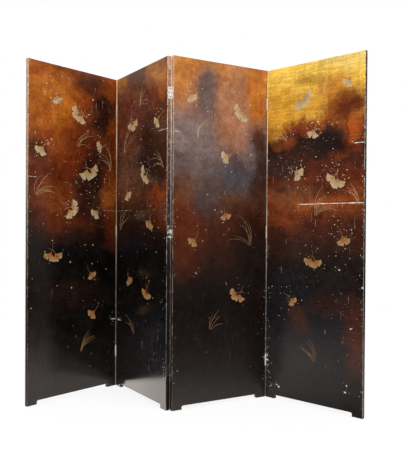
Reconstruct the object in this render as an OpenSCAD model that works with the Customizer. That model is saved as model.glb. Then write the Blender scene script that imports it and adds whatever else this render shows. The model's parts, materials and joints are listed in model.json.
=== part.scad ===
// Four-leaf folding screen of lacquered boards, standing in its zigzag.
// X runs along the row, Y away from the viewer, Z up. The fronts face -Y.
// The origin is on the floor, under the middle of the standing screen.

/* [Leaf] */
// Height of the screen
leaf_h = 1800; // [1200:10:2200]
// Width of one leaf
leaf_w = 565; // [380:5:800]
// Thickness of each lacquered facing
facing_t = 3; // [2.5:0.5:5]
// Thickness of the frame and core between the facings
frame_t = 16; // [16:1:30]

/* [Frame and core] */
// Width of a stile
stile_w = 46; // [36:1:50]
// Height of the top rail, and of the foot rail over the arch
rail_h = 60; // [40:1:120]
// Width of one strip of the core, at most
strip_w = 52; // [30:1:80]
// Glue line between two strips of the core
glue_gap = 0.1; // [0.05:0.05:0.3]
// Length of a rail's stub tenon
tenon_l = 14; // [8:1:24]
// Thickness of the tenon
tenon_t = 6; // [4:1:8]
// Shoulder above and below the tenon
tenon_shoulder = 9; // [5:1:15]
// Clearance round a tenon in its mortise
tenon_fit = 0.1; // [0.05:0.05:0.3]
// Room left past the end of a tenon
tenon_end_gap = 0.8; // [0.3:0.1:2]

/* [Feet] */
// Width of a foot, from the leaf's edge to the arch
foot_w = 56; // [52:1:90]
// Height of the arch between the feet
foot_h = 20; // [12:1:50]
// Radius of the arch's upper corners
arch_r = 9; // [3:0.5:11]

/* [Angle of each leaf to the row, seen from above] */
// Leaf 1, at the left
angle_1 = 46.5; // [30:0.1:60]
// Leaf 2
angle_2 = -54.4; // [-65:0.1:-40]
// Leaf 3
angle_3 = 27.6; // [15:0.1:50]
// Leaf 4, at the right
angle_4 = -39.7; // [-60:0.1:-20]

/* [Hinges] */
// Height of a hinge
hinge_h = 60; // [40:1:100]
// Width of a plate, across the leaf's edge
plate_w = 18; // [15:0.5:18]
// Thickness of a plate
plate_t = 2; // [1.6:0.1:3]
// Radius of the barrel
barrel_r = 3.5; // [3:0.1:4.5]
// Knuckles in the barrel, shared by the two plates
knuckles = 5; // [3:2:7]
// Gap between two knuckles
knuckle_gap = 0.4; // [0.2:0.1:1]
// Radius of the hinge pin
pin_r = 1.5; // [1:0.1:2]
// Clearance between the pin and its bore
pin_fit = 0.05; // [0.02:0.01:0.1]
// Radius of the pin's button ends
button_r = 2.8; // [2.3:0.1:3.4]
// Thickness of a button end
button_t = 1.2; // [0.8:0.1:2]
// From a leaf's edge to the pin's axis
pin_gap = 1; // [0.8:0.1:1.5]
// From a leaf's face to the pin's axis
pin_proud = 1; // [0.8:0.1:1.5]
// Middle of the upper hinge, below the top of the screen
hinge_drop = 185; // [120:5:300]
// Middle of the lower hinge, above the floor
hinge_rise = 205; // [150:5:300]
// Clearance between a plate and the ends of its recess
recess_fit = 0.15; // [0.1:0.05:0.4]
// Clearance round the barrel where the leaf's corner is cut for it
barrel_fit = 0.45; // [0.3:0.05:0.8]
// Clearance between a plate and the other plate's knuckles
sweep_fit = 0.3; // [0.2:0.05:0.5]

/* [Screws] */
// Length of a hinge screw
screw_l = 20; // [12:1:30]
// Radius of its shank
screw_r = 1.6; // [1.2:0.1:2]
// Radius of its countersunk head
screw_head_r = 3.2; // [2.6:0.1:3.5]
// Thickness of the head's straight rim
screw_rim = 0.2; // [0.1:0.05:0.3]
// Length of its point
screw_point = 3; // [2:0.5:5]
// Clearance round a screw
screw_fit = 0.08; // [0.05:0.01:0.15]
// Room left past the point of a screw
screw_end_gap = 0.8; // [0.3:0.1:2]
// Width of the slot in its head
slot_w = 0.7; // [0.5:0.1:1]
// Depth of the slot
slot_d = 0.6; // [0.4:0.1:0.8]
// Height between two screws of a plate
screw_pitch = 20; // [13:0.5:26]
// Mean line of the screws, from the leaf's face
screw_line = 9.5; // [9:0.5:11]
// How far a screw stands to either side of that line
screw_stagger = 2.5; // [0:0.5:3]

/* [Hidden] */
LEAVES = [1, 2, 3, 4];
FOLDS = [1, 2, 3];
LEVELS = ["upper", "middle", "lower"];
LEAF_PARTS = ["front_facing", "back_facing", "left_stile", "right_stile",
              "top_rail", "foot_rail", "core", "hinge_screws"];
HINGE_PARTS = ["left_plate", "right_plate", "pin"];

$fn = 48;
// How far a cutter runs past the surface that it cuts
over = 1;

leaf_t = frame_t + 2 * facing_t;
span_w = leaf_w - 2 * stile_w;
core_z = foot_h + rail_h;
core_h = leaf_h - rail_h - core_z;
tenon_h = rail_h - 2 * tenon_shoulder;
strips = ceil(span_w / strip_w);
strip_pitch = (span_w + glue_gap) / strips;
knuckle_pitch = hinge_h / knuckles;
knuckle_h = knuckle_pitch - knuckle_gap;
cone_h = screw_head_r - screw_r;

// Height of the middle of a hinge
upper_z = leaf_h - hinge_drop;
hinge_z = [upper_z, (upper_z + hinge_rise) / 2, hinge_rise];

// The edges of a leaf that carry hinges, each as [at the right end, on the back]
EDGES = [[[true, false]],
         [[false, false], [true, true]],
         [[false, true], [true, false]],
         [[false, false]]];
// Each fold pins the right end of one leaf to the left end of the next
fold_on_back = [false, true, false];
angles = [angle_1, angle_2, angle_3, angle_4];

// The fronts' lacquer, as it shows halfway up each leaf, and the other finishes
FRONTS = ["#5c2c12", "#2f1a10", "#6e3312", "#a8671c"];
BACK = "#1f1512";
LIPPING = "#3a2416";
CORE = "#c9a26b";
METAL = "#b7a98c";

function leaf_node(n, part) = str("leaf_", n, "_", part);
function hinge_node(f, level, part) = str("fold_", f, "_", level, "_", part);

// A plan point turned about the origin
function turned(a, p) = [p.x * cos(a) - p.y * sin(a), p.x * sin(a) + p.y * cos(a)];

// Plan places, counted from the first fold's pin: the pins, and each leaf's front left corner
pin_1 = [0, 0];
pin_2 = pin_1 + turned(angle_2, [leaf_w + 2 * pin_gap, leaf_t + 2 * pin_proud]);
pin_3 = pin_2 + turned(angle_3, [leaf_w + 2 * pin_gap, -leaf_t - 2 * pin_proud]);
corner_1 = pin_1 + turned(angle_1, [-leaf_w - pin_gap, pin_proud]);
corner_2 = pin_1 + turned(angle_2, [pin_gap, pin_proud]);
corner_3 = pin_2 + turned(angle_3, [pin_gap, -leaf_t - pin_proud]);
corner_4 = pin_3 + turned(angle_4, [pin_gap, pin_proud]);
pins = [pin_1, pin_2, pin_3];
corners = [corner_1, corner_2, corner_3, corner_4];

// Middle of the standing screen's plan box, which becomes the origin
outline = [for (n = LEAVES, x = [0, leaf_w], y = [0, leaf_t])
    corners[n - 1] + turned(angles[n - 1], [x, y])];
xs = [for (p = outline) p.x];
ys = [for (p = outline) p.y];
middle = [min(xs) + max(xs), min(ys) + max(ys)] / 2;

// Places what is drawn in a leaf's own frame: X along it from the left, Y from front to back
module on_leaf(n) {
    p = corners[n - 1] - middle;
    translate([p.x, p.y, 0]) rotate([0, 0, angles[n - 1]]) children();
}

// Places what is drawn round a pin, with the leaf at X > 0 and Y > 0, at one end of a leaf
module at_edge(edge) {
    translate([edge[0] ? leaf_w + pin_gap : -pin_gap, edge[1] ? leaf_t + pin_proud : -pin_proud, 0])
        mirror([edge[0] ? 1 : 0, 0, 0])
            mirror([0, edge[1] ? 1 : 0, 0]) children();
}

// Heights of the screws of one plate, and how far each stands from the leaf's face
module at_screws() {
    for (i = [-1, 0, 1])
        translate([pin_gap, pin_proud + screw_line + (i == 0 ? 1 : -1) * screw_stagger, i * screw_pitch])
            rotate([0, 90, 0]) children();
}

// What one hinge takes out of its leaf: the plate's recess, the barrel's corner, the screw holes
module hinge_cut() {
    translate([pin_gap - over, pin_proud - over, -hinge_h / 2 - recess_fit])
        cube([plate_t + over, plate_w + over + recess_fit, hinge_h + 2 * recess_fit]);
    cylinder(r = barrel_r + barrel_fit, h = hinge_h + 2 * (button_t + barrel_fit), center = true);
    at_screws()
        cylinder(r = screw_r + screw_fit, h = screw_l + screw_end_gap);
}

module hinge_cuts(n) {
    for (edge = EDGES[n - 1], z = hinge_z)
        at_edge(edge) translate([0, 0, z]) hinge_cut();
}

// The low arch between a leaf's feet, cut right through in Y
module arch() {
    far_x = leaf_w - foot_w;
    translate([foot_w, -over, -over])
        cube([far_x - foot_w, leaf_t + 2 * over, foot_h - arch_r + over]);
    translate([foot_w + arch_r, -over, -over])
        cube([far_x - foot_w - 2 * arch_r, leaf_t + 2 * over, foot_h + over]);
    for (x = [foot_w + arch_r, far_x - arch_r])
        translate([x, -over, foot_h - arch_r]) rotate([-90, 0, 0])
            cylinder(r = arch_r, h = leaf_t + 2 * over);
}

module facing(n, y) {
    on_leaf(n) difference() {
        translate([0, y, 0]) cube([leaf_w, facing_t, leaf_h]);
        arch();
        hinge_cuts(n);
    }
}

module front_facing(n) {
    color(FRONTS[n - 1]) facing(n, 0);
}

module back_facing(n) {
    color(BACK) facing(n, facing_t + frame_t);
}

// A rail's tenon and, made larger by fit, the mortise for it
module tenon(z, fit, end_gap) {
    y = facing_t + (frame_t - tenon_t) / 2;
    translate([-tenon_l - end_gap, y - fit, z + tenon_shoulder - fit])
        cube([tenon_l + end_gap + over, tenon_t + 2 * fit, tenon_h + 2 * fit]);
}

// Draws a stile's mortises at the left end of the rails, or at the right end mirrored
module mortises() {
    for (z = [foot_h, leaf_h - rail_h])
        translate([stile_w, 0, 0]) tenon(z, tenon_fit, tenon_end_gap);
}

module stile(n, x) {
    color(LIPPING) on_leaf(n) difference() {
        translate([x, facing_t, 0]) cube([stile_w, frame_t, leaf_h]);
        mortises();
        translate([leaf_w, 0, 0]) mirror([1, 0, 0]) mortises();
        hinge_cuts(n);
    }
}

module left_stile(n) {
    stile(n, 0);
}

module right_stile(n) {
    stile(n, leaf_w - stile_w);
}

module tenons(z) {
    translate([stile_w, 0, 0]) tenon(z, 0, 0);
    translate([leaf_w - stile_w, 0, 0]) mirror([1, 0, 0]) tenon(z, 0, 0);
}

module top_rail(n) {
    z = leaf_h - rail_h;
    color(LIPPING) on_leaf(n) {
        translate([stile_w, facing_t, z]) cube([span_w, frame_t, rail_h]);
        tenons(z);
    }
}

// The foot rail stands on the floor beside the stiles, and the arch is cut from it
module foot_rail(n) {
    color(LIPPING) on_leaf(n) difference() {
        union() {
            translate([stile_w, facing_t, 0]) cube([span_w, frame_t, core_z]);
            tenons(foot_h);
        }
        arch();
    }
}

// Upright strips of softwood, glued edge to edge
module core(n) {
    color(CORE) on_leaf(n)
        for (i = [0 : strips - 1])
            translate([stile_w + i * strip_pitch, facing_t, core_z])
                cube([strip_pitch - glue_gap, frame_t, core_h]);
}

// Countersunk wood screw along +Z, its flat head at z = 0, the slot across it
module screw() {
    difference() {
        union() {
            cylinder(r = screw_head_r, h = screw_rim);
            translate([0, 0, screw_rim]) cylinder(r1 = screw_head_r, r2 = screw_r, h = cone_h);
            cylinder(r = screw_r, h = screw_l - screw_point);
            translate([0, 0, screw_l - screw_point])
                cylinder(r1 = screw_r, r2 = screw_r / 4, h = screw_point);
        }
        translate([-screw_head_r - over, -slot_w / 2, -over])
            cube([2 * (screw_head_r + over), slot_w, over + slot_d]);
    }
}

module hinge_screws(n) {
    color(METAL) on_leaf(n)
        for (edge = EDGES[n - 1], z = hinge_z)
            at_edge(edge) translate([0, 0, z]) at_screws() screw();
}

// The hole for a screw in a plate: shank hole, cone and rim
module screw_hole() {
    cylinder(r = screw_r + screw_fit, h = plate_t + over);
    translate([0, 0, screw_rim])
        cylinder(r1 = screw_head_r + screw_fit, r2 = screw_r + screw_fit, h = cone_h);
    translate([0, 0, -over]) cylinder(r = screw_head_r + screw_fit, h = screw_rim + over);
}

// Draws its children at every second knuckle of the barrel, from the given one
module at_knuckles(first) {
    for (i = [first : 2 : knuckles - 1])
        translate([0, 0, (i - (knuckles - 1) / 2) * knuckle_pitch]) children();
}

// One plate round the pin's axis, with its knuckles from the given one. The other's are swept clear
module plate(first) {
    difference() {
        union() {
            difference() {
                translate([pin_gap, pin_proud, -hinge_h / 2]) cube([plate_t, plate_w, hinge_h]);
                at_knuckles(1 - first)
                    cylinder(r = barrel_r + sweep_fit, h = knuckle_h + 2 * knuckle_gap, center = true);
            }
            at_knuckles(first) cylinder(r = barrel_r, h = knuckle_h, center = true);
        }
        cylinder(r = pin_r + pin_fit, h = hinge_h + 2 * over, center = true);
        at_screws() screw_hole();
    }
}

module left_plate(f, z) {
    color(METAL) on_leaf(f)
        at_edge([true, fold_on_back[f - 1]]) translate([0, 0, z]) plate(0);
}

module right_plate(f, z) {
    color(METAL) on_leaf(f + 1)
        at_edge([false, fold_on_back[f - 1]]) translate([0, 0, z]) plate(1);
}

// The pin, held by a button at each end of the barrel
module pin(f, z) {
    p = pins[f - 1] - middle;
    color(METAL) translate([p.x, p.y, z]) {
        cylinder(r = pin_r, h = hinge_h + button_t, center = true);
        for (side = [0, 1])
            mirror([0, 0, side]) translate([0, 0, hinge_h / 2]) {
                cylinder(r = button_r, h = button_t / 2);
                translate([0, 0, button_t / 2])
                    cylinder(r1 = button_r, r2 = button_r - button_t / 2, h = button_t / 2);
            }
    }
}

for (n = LEAVES) {
    front_facing(n);
    back_facing(n);
    left_stile(n);
    right_stile(n);
    top_rail(n);
    foot_rail(n);
    core(n);
    hinge_screws(n);
}
for (f = FOLDS, i = [0 : len(LEVELS) - 1]) {
    left_plate(f, hinge_z[i]);
    right_plate(f, hinge_z[i]);
    pin(f, hinge_z[i]);
}
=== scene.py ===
import json
import math
import random

import bmesh
import bpy
import numpy as np
from mathutils import Matrix, Vector, geometry, noise


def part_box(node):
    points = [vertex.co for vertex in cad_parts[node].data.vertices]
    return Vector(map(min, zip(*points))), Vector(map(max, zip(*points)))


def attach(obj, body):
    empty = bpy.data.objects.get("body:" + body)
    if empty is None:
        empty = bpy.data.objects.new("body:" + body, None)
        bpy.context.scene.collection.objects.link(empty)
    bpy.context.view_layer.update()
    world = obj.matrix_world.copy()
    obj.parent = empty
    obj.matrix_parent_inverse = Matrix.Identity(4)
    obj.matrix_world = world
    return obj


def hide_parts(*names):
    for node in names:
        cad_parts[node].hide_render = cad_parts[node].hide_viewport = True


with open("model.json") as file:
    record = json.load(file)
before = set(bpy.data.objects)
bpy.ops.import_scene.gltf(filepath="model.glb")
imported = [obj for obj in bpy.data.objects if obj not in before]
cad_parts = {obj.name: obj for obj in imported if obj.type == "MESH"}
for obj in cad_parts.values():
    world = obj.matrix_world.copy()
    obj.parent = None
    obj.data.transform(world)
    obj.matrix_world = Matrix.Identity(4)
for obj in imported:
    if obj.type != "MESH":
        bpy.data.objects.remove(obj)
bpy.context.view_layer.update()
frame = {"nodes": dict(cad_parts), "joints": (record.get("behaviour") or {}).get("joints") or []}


# The screen's sizes, in metres, as in the part's source

LEAF_WIDTH = 0.565
LEAF_HEIGHT = 1.8
LEAF_THICKNESS = 0.022
FACING = 0.003
PIN_GAP = 0.001
PIN_PROUD = 0.001
LEAF_ANGLES = {"leaf_1": 46.5, "leaf_2": -54.4, "leaf_3": 27.6, "leaf_4": -39.7}
LEAVES = tuple(LEAF_ANGLES)


def leaf_stands():
    """Where each leaf stands: its front left foot corner, turned by its angle to the row."""
    pins = {joint["name"]: Vector(joint["pos_m"]) for joint in frame["joints"]}
    from_pin = {
        "leaf_1": ("fold_1", -LEAF_WIDTH - PIN_GAP, PIN_PROUD),
        "leaf_2": ("fold_1", PIN_GAP, PIN_PROUD),
        "leaf_3": ("fold_2", PIN_GAP, -LEAF_THICKNESS - PIN_PROUD),
        "leaf_4": ("fold_3", PIN_GAP, PIN_PROUD),
    }
    stands = {}
    for leaf, (fold, along, behind) in from_pin.items():
        turned = Matrix.Rotation(math.radians(LEAF_ANGLES[leaf]), 4, "Z")
        stands[leaf] = Matrix.Translation(pins[fold]) @ turned @ Matrix.Translation((along, behind, 0))
    return stands


STANDS = leaf_stands()


# The camera, at the photograph's viewing angle

PHOTO_WIDE = 410
PHOTO_HIGH = 474
SENSOR = 36.0
LENS = 41.777
SHIFT = (-0.00126, -0.00233)
CAMERA_SPOT = (0.07375, -2.96997, 0.91639)
CAMERA_DOWN = 0.5376
CAMERA_ROLL = 0.3648


def stand_camera():
    """The photograph's camera."""
    data = bpy.data.cameras.new("camera")
    data.sensor_width = SENSOR
    data.lens = LENS
    data.shift_x, data.shift_y = SHIFT
    data.clip_end = 60
    camera = bpy.data.objects.new("camera", data)
    bpy.context.scene.collection.objects.link(camera)
    tipped = Matrix.Rotation(math.radians(90 - CAMERA_DOWN), 4, "X")
    rolled = Matrix.Rotation(math.radians(CAMERA_ROLL), 4, "Z")
    camera.matrix_world = Matrix.Translation(CAMERA_SPOT) @ tipped @ rolled
    bpy.context.scene.camera = camera
    bpy.context.view_layer.update()
    return camera


camera = stand_camera()


def seen_on(leaf, across, down):
    """The spot on a leaf's front, as (x, z) in the leaf, that shows at a pixel of the photograph."""
    sight = Vector((
        (across - PHOTO_WIDE / 2) / PHOTO_HIGH + SHIFT[0],
        (PHOTO_HIGH / 2 - down) / PHOTO_HIGH + SHIFT[1],
        -LENS / SENSOR,
    ))
    into_leaf = STANDS[leaf].inverted()
    eye = into_leaf @ Vector(CAMERA_SPOT)
    ray = into_leaf.to_3x3() @ (camera.matrix_world.to_3x3() @ sight)
    spot = eye - ray * (eye.y / ray.y)
    return spot.x, spot.z


# Tones, named as the lacquer shop would

def tone(red, green, blue):
    """A colour as it looks on screen, 0 to 255, made linear for the shaders."""
    parts = []
    for part in (red / 255, green / 255, blue / 255):
        parts.append(part / 12.92 if part <= 0.04045 else ((part + 0.055) / 1.055) ** 2.4)
    return (*parts, 1.0)


RIM_GOLD = tone(254, 236, 160)
GOLD = tone(250, 214, 98)
OLD_GOLD = tone(232, 180, 64)
OLIVE_GOLD = tone(176, 128, 34)
HONEY = tone(212, 142, 66)
AMBER = tone(190, 112, 34)
ORANGE = tone(204, 100, 30)
COPPER = tone(146, 72, 27)
RUST = tone(104, 44, 18)
CHESTNUT = tone(78, 38, 24)
TOBACCO = tone(108, 74, 52)
UMBER = tone(56, 32, 23)
SMOKE = tone(32, 23, 21)
SMUDGE = tone(44, 36, 31)
WARM_PITCH = tone(20, 12, 9)
PITCH = tone(13, 12, 12)
BLUE_BLACK = tone(25, 26, 33)
PLUM = tone(64, 41, 40)
# Painted sheen: pale grey-mauve colour that stands in for a soft reflection of light on the polish
PAINTED_SHEEN = tone(142, 125, 123)
PAINTED_SHEEN_DARK = tone(104, 92, 94)
SLATE = tone(82, 82, 90)
ROSEWOOD = tone(178, 124, 92)
GESSO = tone(236, 228, 210)
WORN_BROWN = tone(96, 66, 46)
DARK_BROWN = tone(44, 28, 20)
CREAM = tone(224, 204, 166)
PALE_GOLD = tone(204, 166, 114)
ORANGE_GOLD = tone(176, 116, 56)
GREY_HAIRLINE = tone(150, 144, 136)
SCRATCH_PALE = tone(216, 206, 188)
SPLASH = tone(242, 230, 206)
CHIP_WHITE = tone(252, 248, 240)
BRASS = tone(252, 246, 236)
BRASS_DARK = tone(96, 80, 62)
IRON = tone(32, 28, 26)
IRON_PALE = tone(92, 84, 76)
SPRUCE = tone(214, 176, 124)
SPRUCE_LATE = tone(172, 124, 74)


def grey(level):
    """A neutral share, for shading a colour by multiplying."""
    return (level, level, level, 1.0)


DEEPENED = (0.58, 0.46, 0.42, 1.0)
BRIGHTENED = (1.32, 1.32, 1.24, 1.0)
REDDENED = (0.66, 0.40, 0.34, 1.0)
GILDED = (1.42, 1.36, 1.15, 1.0)


# Laying shader nodes

class Wiring:
    """Lays shader nodes in one tree and joins them."""

    def __init__(self, tree):
        self.tree = tree

    def feed(self, socket, value):
        if isinstance(value, bpy.types.NodeSocket):
            self.tree.links.new(value, socket)
        else:
            socket.default_value = value

    def lay(self, kind, inputs=None, **settings):
        node = self.tree.nodes.new(kind)
        for name, value in settings.items():
            setattr(node, name, value)
        for name, value in (inputs or {}).items():
            self.feed(node.inputs[name], value)
        return node

    def number(self, operation, first, second=0.0, clamp=False):
        node = self.lay("ShaderNodeMath", {0: first, 1: second}, operation=operation, use_clamp=clamp)
        return node.outputs[0]

    def plus(self, first, second, clamp=False):
        return self.number("ADD", first, second, clamp)

    def minus(self, first, second):
        return self.number("SUBTRACT", first, second)

    def times(self, first, second):
        return self.number("MULTIPLY", first, second)

    def larger(self, first, second):
        return self.number("MAXIMUM", first, second)

    def vector(self, operation, first, second):
        return self.lay("ShaderNodeVectorMath", {0: first, 1: second}, operation=operation).outputs[0]

    def span(self, value, low, high, at_low=0.0, at_high=1.0, smooth=True):
        """Carries a value from one span to another, held at both ends."""
        inputs = {"Value": value, "From Min": low, "From Max": high, "To Min": at_low, "To Max": at_high}
        kind = "SMOOTHSTEP" if smooth else "LINEAR"
        return self.lay("ShaderNodeMapRange", inputs, interpolation_type=kind).outputs["Result"]

    def between(self, share, at_none, at_full):
        """Goes evenly from one value to the other as a share goes from none to all."""
        return self.span(share, 0.0, 1.0, at_none, at_full, smooth=False)

    def mix(self, share, under, over, way="MIX"):
        inputs = {0: share, 6: under, 7: over}
        return self.lay("ShaderNodeMix", inputs, data_type="RGBA", blend_type=way).outputs[2]

    def tinted(self, colour, shade):
        """A colour multiplied by a shade."""
        return self.mix(1.0, colour, shade, "MULTIPLY")

    def noise(self, place, scale, detail, rough, seed):
        inputs = {"Vector": place, "W": seed, "Scale": scale, "Detail": detail, "Roughness": rough}
        return self.lay("ShaderNodeTexNoise", inputs, noise_dimensions="4D").outputs

    def grain(self, place, scale, detail, rough, seed):
        """The level of a noise, about one half."""
        return self.noise(place, scale, detail, rough, seed)["Fac"]

    def drawn_grain(self, place, stretch, detail, rough, seed):
        """The level of a noise that is drawn out where its stretch is small."""
        return self.grain(self.vector("MULTIPLY", place, stretch), 1.0, detail, rough, seed)

    def lay_group(self, tree, **inputs):
        """Places a shader node group, and gives all its outputs."""
        node = self.lay("ShaderNodeGroup", node_tree=tree)
        for name, value in inputs.items():
            self.feed(node.inputs[name], value)
        return node.outputs

    def group(self, tree, **inputs):
        """Places a shader node group, and gives its first output."""
        return self.lay_group(tree, **inputs)[0]

    def axis(self, place, which):
        return self.lay("ShaderNodeSeparateXYZ", {0: place}).outputs[which]

    def length(self, way):
        return self.lay("ShaderNodeVectorMath", {0: way}, operation="LENGTH").outputs["Value"]

    def mark(self, name):
        """A value that the mesh carries at each of its points."""
        return self.lay("ShaderNodeAttribute", attribute_name=name).outputs["Fac"]

    def ramp(self, value, stops):
        node = self.lay("ShaderNodeValToRGB", {0: value})
        bands = node.color_ramp
        bands.interpolation = "EASE"
        while len(bands.elements) < len(stops):
            bands.elements.new(0.5)
        for element, (position, colour) in zip(bands.elements, stops):
            element.position = position
            element.color = colour
        return node.outputs["Color"]


def new_group(name, inputs, outputs):
    """A shader node group with named sockets: gives the group, its wiring, its inputs and its way out."""
    tree = bpy.data.node_groups.new(name, "ShaderNodeTree")
    for socket, value in inputs.items():
        kind = "NodeSocketFloat" if isinstance(value, float) else "NodeSocketVector"
        tree.interface.new_socket(socket, in_out="INPUT", socket_type=kind).default_value = value
    for socket, kind in outputs.items():
        tree.interface.new_socket(socket, in_out="OUTPUT", socket_type=kind)
    wires = Wiring(tree)
    return tree, wires, wires.lay("NodeGroupInput").outputs, wires.lay("NodeGroupOutput").inputs


ORIGIN = (0.0, 0.0, 0.0)


def cloud_drift_group():
    """Pushes the place about with soft noise, so that clouds get wandering borders."""
    inputs = {"Place": ORIGIN, "Reach": 0.2, "Scale": 4.0, "Seed": 0.0}
    tree, wires, given, out = new_group("cloud drift", inputs, {"Place": "NodeSocketVector"})
    swirl = wires.noise(given["Place"], given["Scale"], 4.0, 0.55, given["Seed"])["Color"]
    push = wires.vector("SUBTRACT", swirl, (0.5, 0.5, 0.5))
    reach = wires.lay("ShaderNodeVectorMath", {0: push, "Scale": given["Reach"]}, operation="SCALE")
    wires.feed(out["Place"], wires.vector("ADD", given["Place"], reach.outputs[0]))
    return tree


def cloud_patch_group():
    """One cloud: full at its centre and gone past its reach, with a frayed rim."""
    inputs = {
        "Place": ORIGIN, "Centre": ORIGIN, "Reach": (1.0, 1.0, 1.0),
        "Softness": 0.5, "Strength": 1.0, "Fray": 0.0,
    }
    tree, wires, given, out = new_group("cloud patch", inputs, {"Mask": "NodeSocketFloat"})
    apart = wires.vector("SUBTRACT", given["Place"], given["Centre"])
    spread = wires.vector("DIVIDE", apart, given["Reach"])
    far = wires.plus(wires.length(spread), given["Fray"])
    near_rim = wires.minus(1.0, given["Softness"])
    far_rim = wires.plus(1.0, given["Softness"])
    cloud = wires.span(far, near_rim, far_rim, 1.0, 0.0)
    wires.feed(out["Mask"], wires.times(cloud, given["Strength"]))
    return tree


def brush_streaks_group():
    """Streaks left by a brush, long where the stretch is small."""
    inputs = {"Place": ORIGIN, "Stretch": (150.0, 1.0, 3.0), "Contrast": 0.3, "Seed": 0.0}
    tree, wires, given, out = new_group("brush streaks", inputs, {"Shade": "NodeSocketFloat"})
    grain = wires.drawn_grain(given["Place"], given["Stretch"], 5.0, 0.62, given["Seed"])
    swing = wires.span(grain, 0.25, 0.75, -1.0, 1.0, smooth=False)
    swung = wires.times(swing, given["Contrast"])
    wires.feed(out["Shade"], wires.plus(swung, 1.0))
    return tree


def specks_group():
    """Small scattered specks, a share of the cells of a loose grid."""
    inputs = {"Place": ORIGIN, "Spacing": 0.02, "Size": 0.1, "Share": 0.3, "Seed": 0.0}
    tree, wires, given, out = new_group("specks", inputs, {"Mask": "NodeSocketFloat"})
    scale = wires.number("DIVIDE", 1.0, given["Spacing"])
    cell_inputs = {"Vector": given["Place"], "W": given["Seed"], "Scale": scale}
    cells = wires.lay("ShaderNodeTexVoronoi", cell_inputs, voronoi_dimensions="4D")
    dot = wires.span(cells.outputs["Distance"], wires.times(given["Size"], 0.6), given["Size"], 1.0, 0.0)
    pick = wires.axis(cells.outputs["Color"], 0)
    kept = wires.number("LESS_THAN", pick, given["Share"])
    wires.feed(out["Mask"], wires.times(dot, kept))
    return tree


def hairlines_group():
    """Fine scratches: broken contour lines of a stretched noise."""
    inputs = {"Place": ORIGIN, "Stretch": (30.0, 1.0, 2.0), "Fineness": 0.01, "Share": 0.4, "Seed": 0.0}
    tree, wires, given, out = new_group("hairlines", inputs, {"Mask": "NodeSocketFloat"})
    field = wires.drawn_grain(given["Place"], given["Stretch"], 2.0, 0.6, given["Seed"])
    off_line = wires.number("ABSOLUTE", wires.minus(field, 0.5))
    line = wires.span(off_line, 0.0, given["Fineness"], 1.0, 0.0)
    gate = wires.grain(given["Place"], 9.0, 3.0, 0.6, wires.plus(given["Seed"], 5.0))
    edge = wires.minus(0.75, wires.times(given["Share"], 0.5))
    opened = wires.span(gate, edge, wires.plus(edge, 0.12))
    wires.feed(out["Mask"], wires.times(line, opened))
    return tree


def edge_rub_group():
    """Rubbing that comes in from a leaf's left side, its right side and its two ends."""
    inputs = {"Place": ORIGIN, "Reach": 0.01, "Seed": 0.0}
    outputs = {side: "NodeSocketFloat" for side in ("Left", "Right", "Ends")}
    tree, wires, given, out = new_group("edge rub", inputs, outputs)
    x = wires.axis(given["Place"], 0)
    z = wires.axis(given["Place"], 2)
    ends = wires.number("MINIMUM", z, wires.minus(LEAF_HEIGHT, z))
    wander = wires.grain(given["Place"], 60.0, 4.0, 0.65, given["Seed"])
    reach = wires.times(given["Reach"], wires.span(wander, 0.35, 0.7, 0.0, 2.0))
    reach = wires.plus(reach, 0.0002)
    for side, near in (("Left", x), ("Right", wires.minus(LEAF_WIDTH, x)), ("Ends", ends)):
        wires.feed(out[side], wires.span(near, 0.0, reach, 1.0, 0.0))
    return tree


def ripple_group():
    """The surface of a hand-laid coat: slow waves and a fine skin."""
    inputs = {"Place": ORIGIN, "Waves": 7.0, "Skin": 260.0, "Skin Share": 0.03, "Seed": 0.0}
    tree, wires, given, out = new_group("ripple", inputs, {"Height": "NodeSocketFloat"})
    slow = wires.grain(given["Place"], given["Waves"], 1.0, 0.4, given["Seed"])
    fine = wires.grain(given["Place"], given["Skin"], 2.0, 0.5, given["Seed"])
    skin = wires.times(fine, given["Skin Share"])
    wires.feed(out["Height"], wires.plus(slow, skin))
    return tree


CLOUD_DRIFT = cloud_drift_group()
CLOUD_PATCH = cloud_patch_group()
BRUSH_STREAKS = brush_streaks_group()
SPECKS = specks_group()
HAIRLINES = hairlines_group()
EDGE_RUB = edge_rub_group()
RIPPLE = ripple_group()


def new_material(name):
    """A material with one Principled shader: gives the material, its wiring, its shader and its place."""
    made = bpy.data.materials.new(name)
    made.use_nodes = True
    made.node_tree.nodes.clear()
    wires = Wiring(made.node_tree)
    surface = wires.lay("ShaderNodeBsdfPrincipled")
    wires.lay("ShaderNodeOutputMaterial", {"Surface": surface.outputs[0]})
    place = wires.lay("ShaderNodeTexCoord").outputs["Object"]
    return made, wires, surface.inputs, place


def finish_surface(wires, surface, colour, roughness, height, depth):
    """Gives a shader its colour, its roughness and a relief of a height, as deep as given in metres."""
    relief = wires.lay("ShaderNodeBump", {"Height": height, "Distance": depth})
    wires.feed(surface["Base Color"], colour)
    wires.feed(surface["Roughness"], roughness)
    wires.feed(surface["Normal"], relief.outputs["Normal"])


def by_height(wires, place, stops):
    """A colour that changes up the leaf, with its stops in metres from the floor."""
    up = wires.number("DIVIDE", wires.axis(place, 2), LEAF_HEIGHT)
    return wires.ramp(up, [(height / LEAF_HEIGHT, shade) for height, shade in stops])


def shaded(wires, colour, value, low, high, dark, light, share=1.0):
    """Multiplies a colour from a dark to a light shade as a value goes from low to high."""
    shade = wires.mix(wires.span(value, low, high, smooth=False), dark, light)
    return wires.mix(share, colour, shade, "MULTIPLY")


# The lacquered fronts. Heights and spots are in metres on the leaf, from its left foot.

UPRIGHT_STREAKS = (95.0, 1.0, 2.0)
LEVEL_STREAKS = (9.0, 1.0, 130.0)

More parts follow.
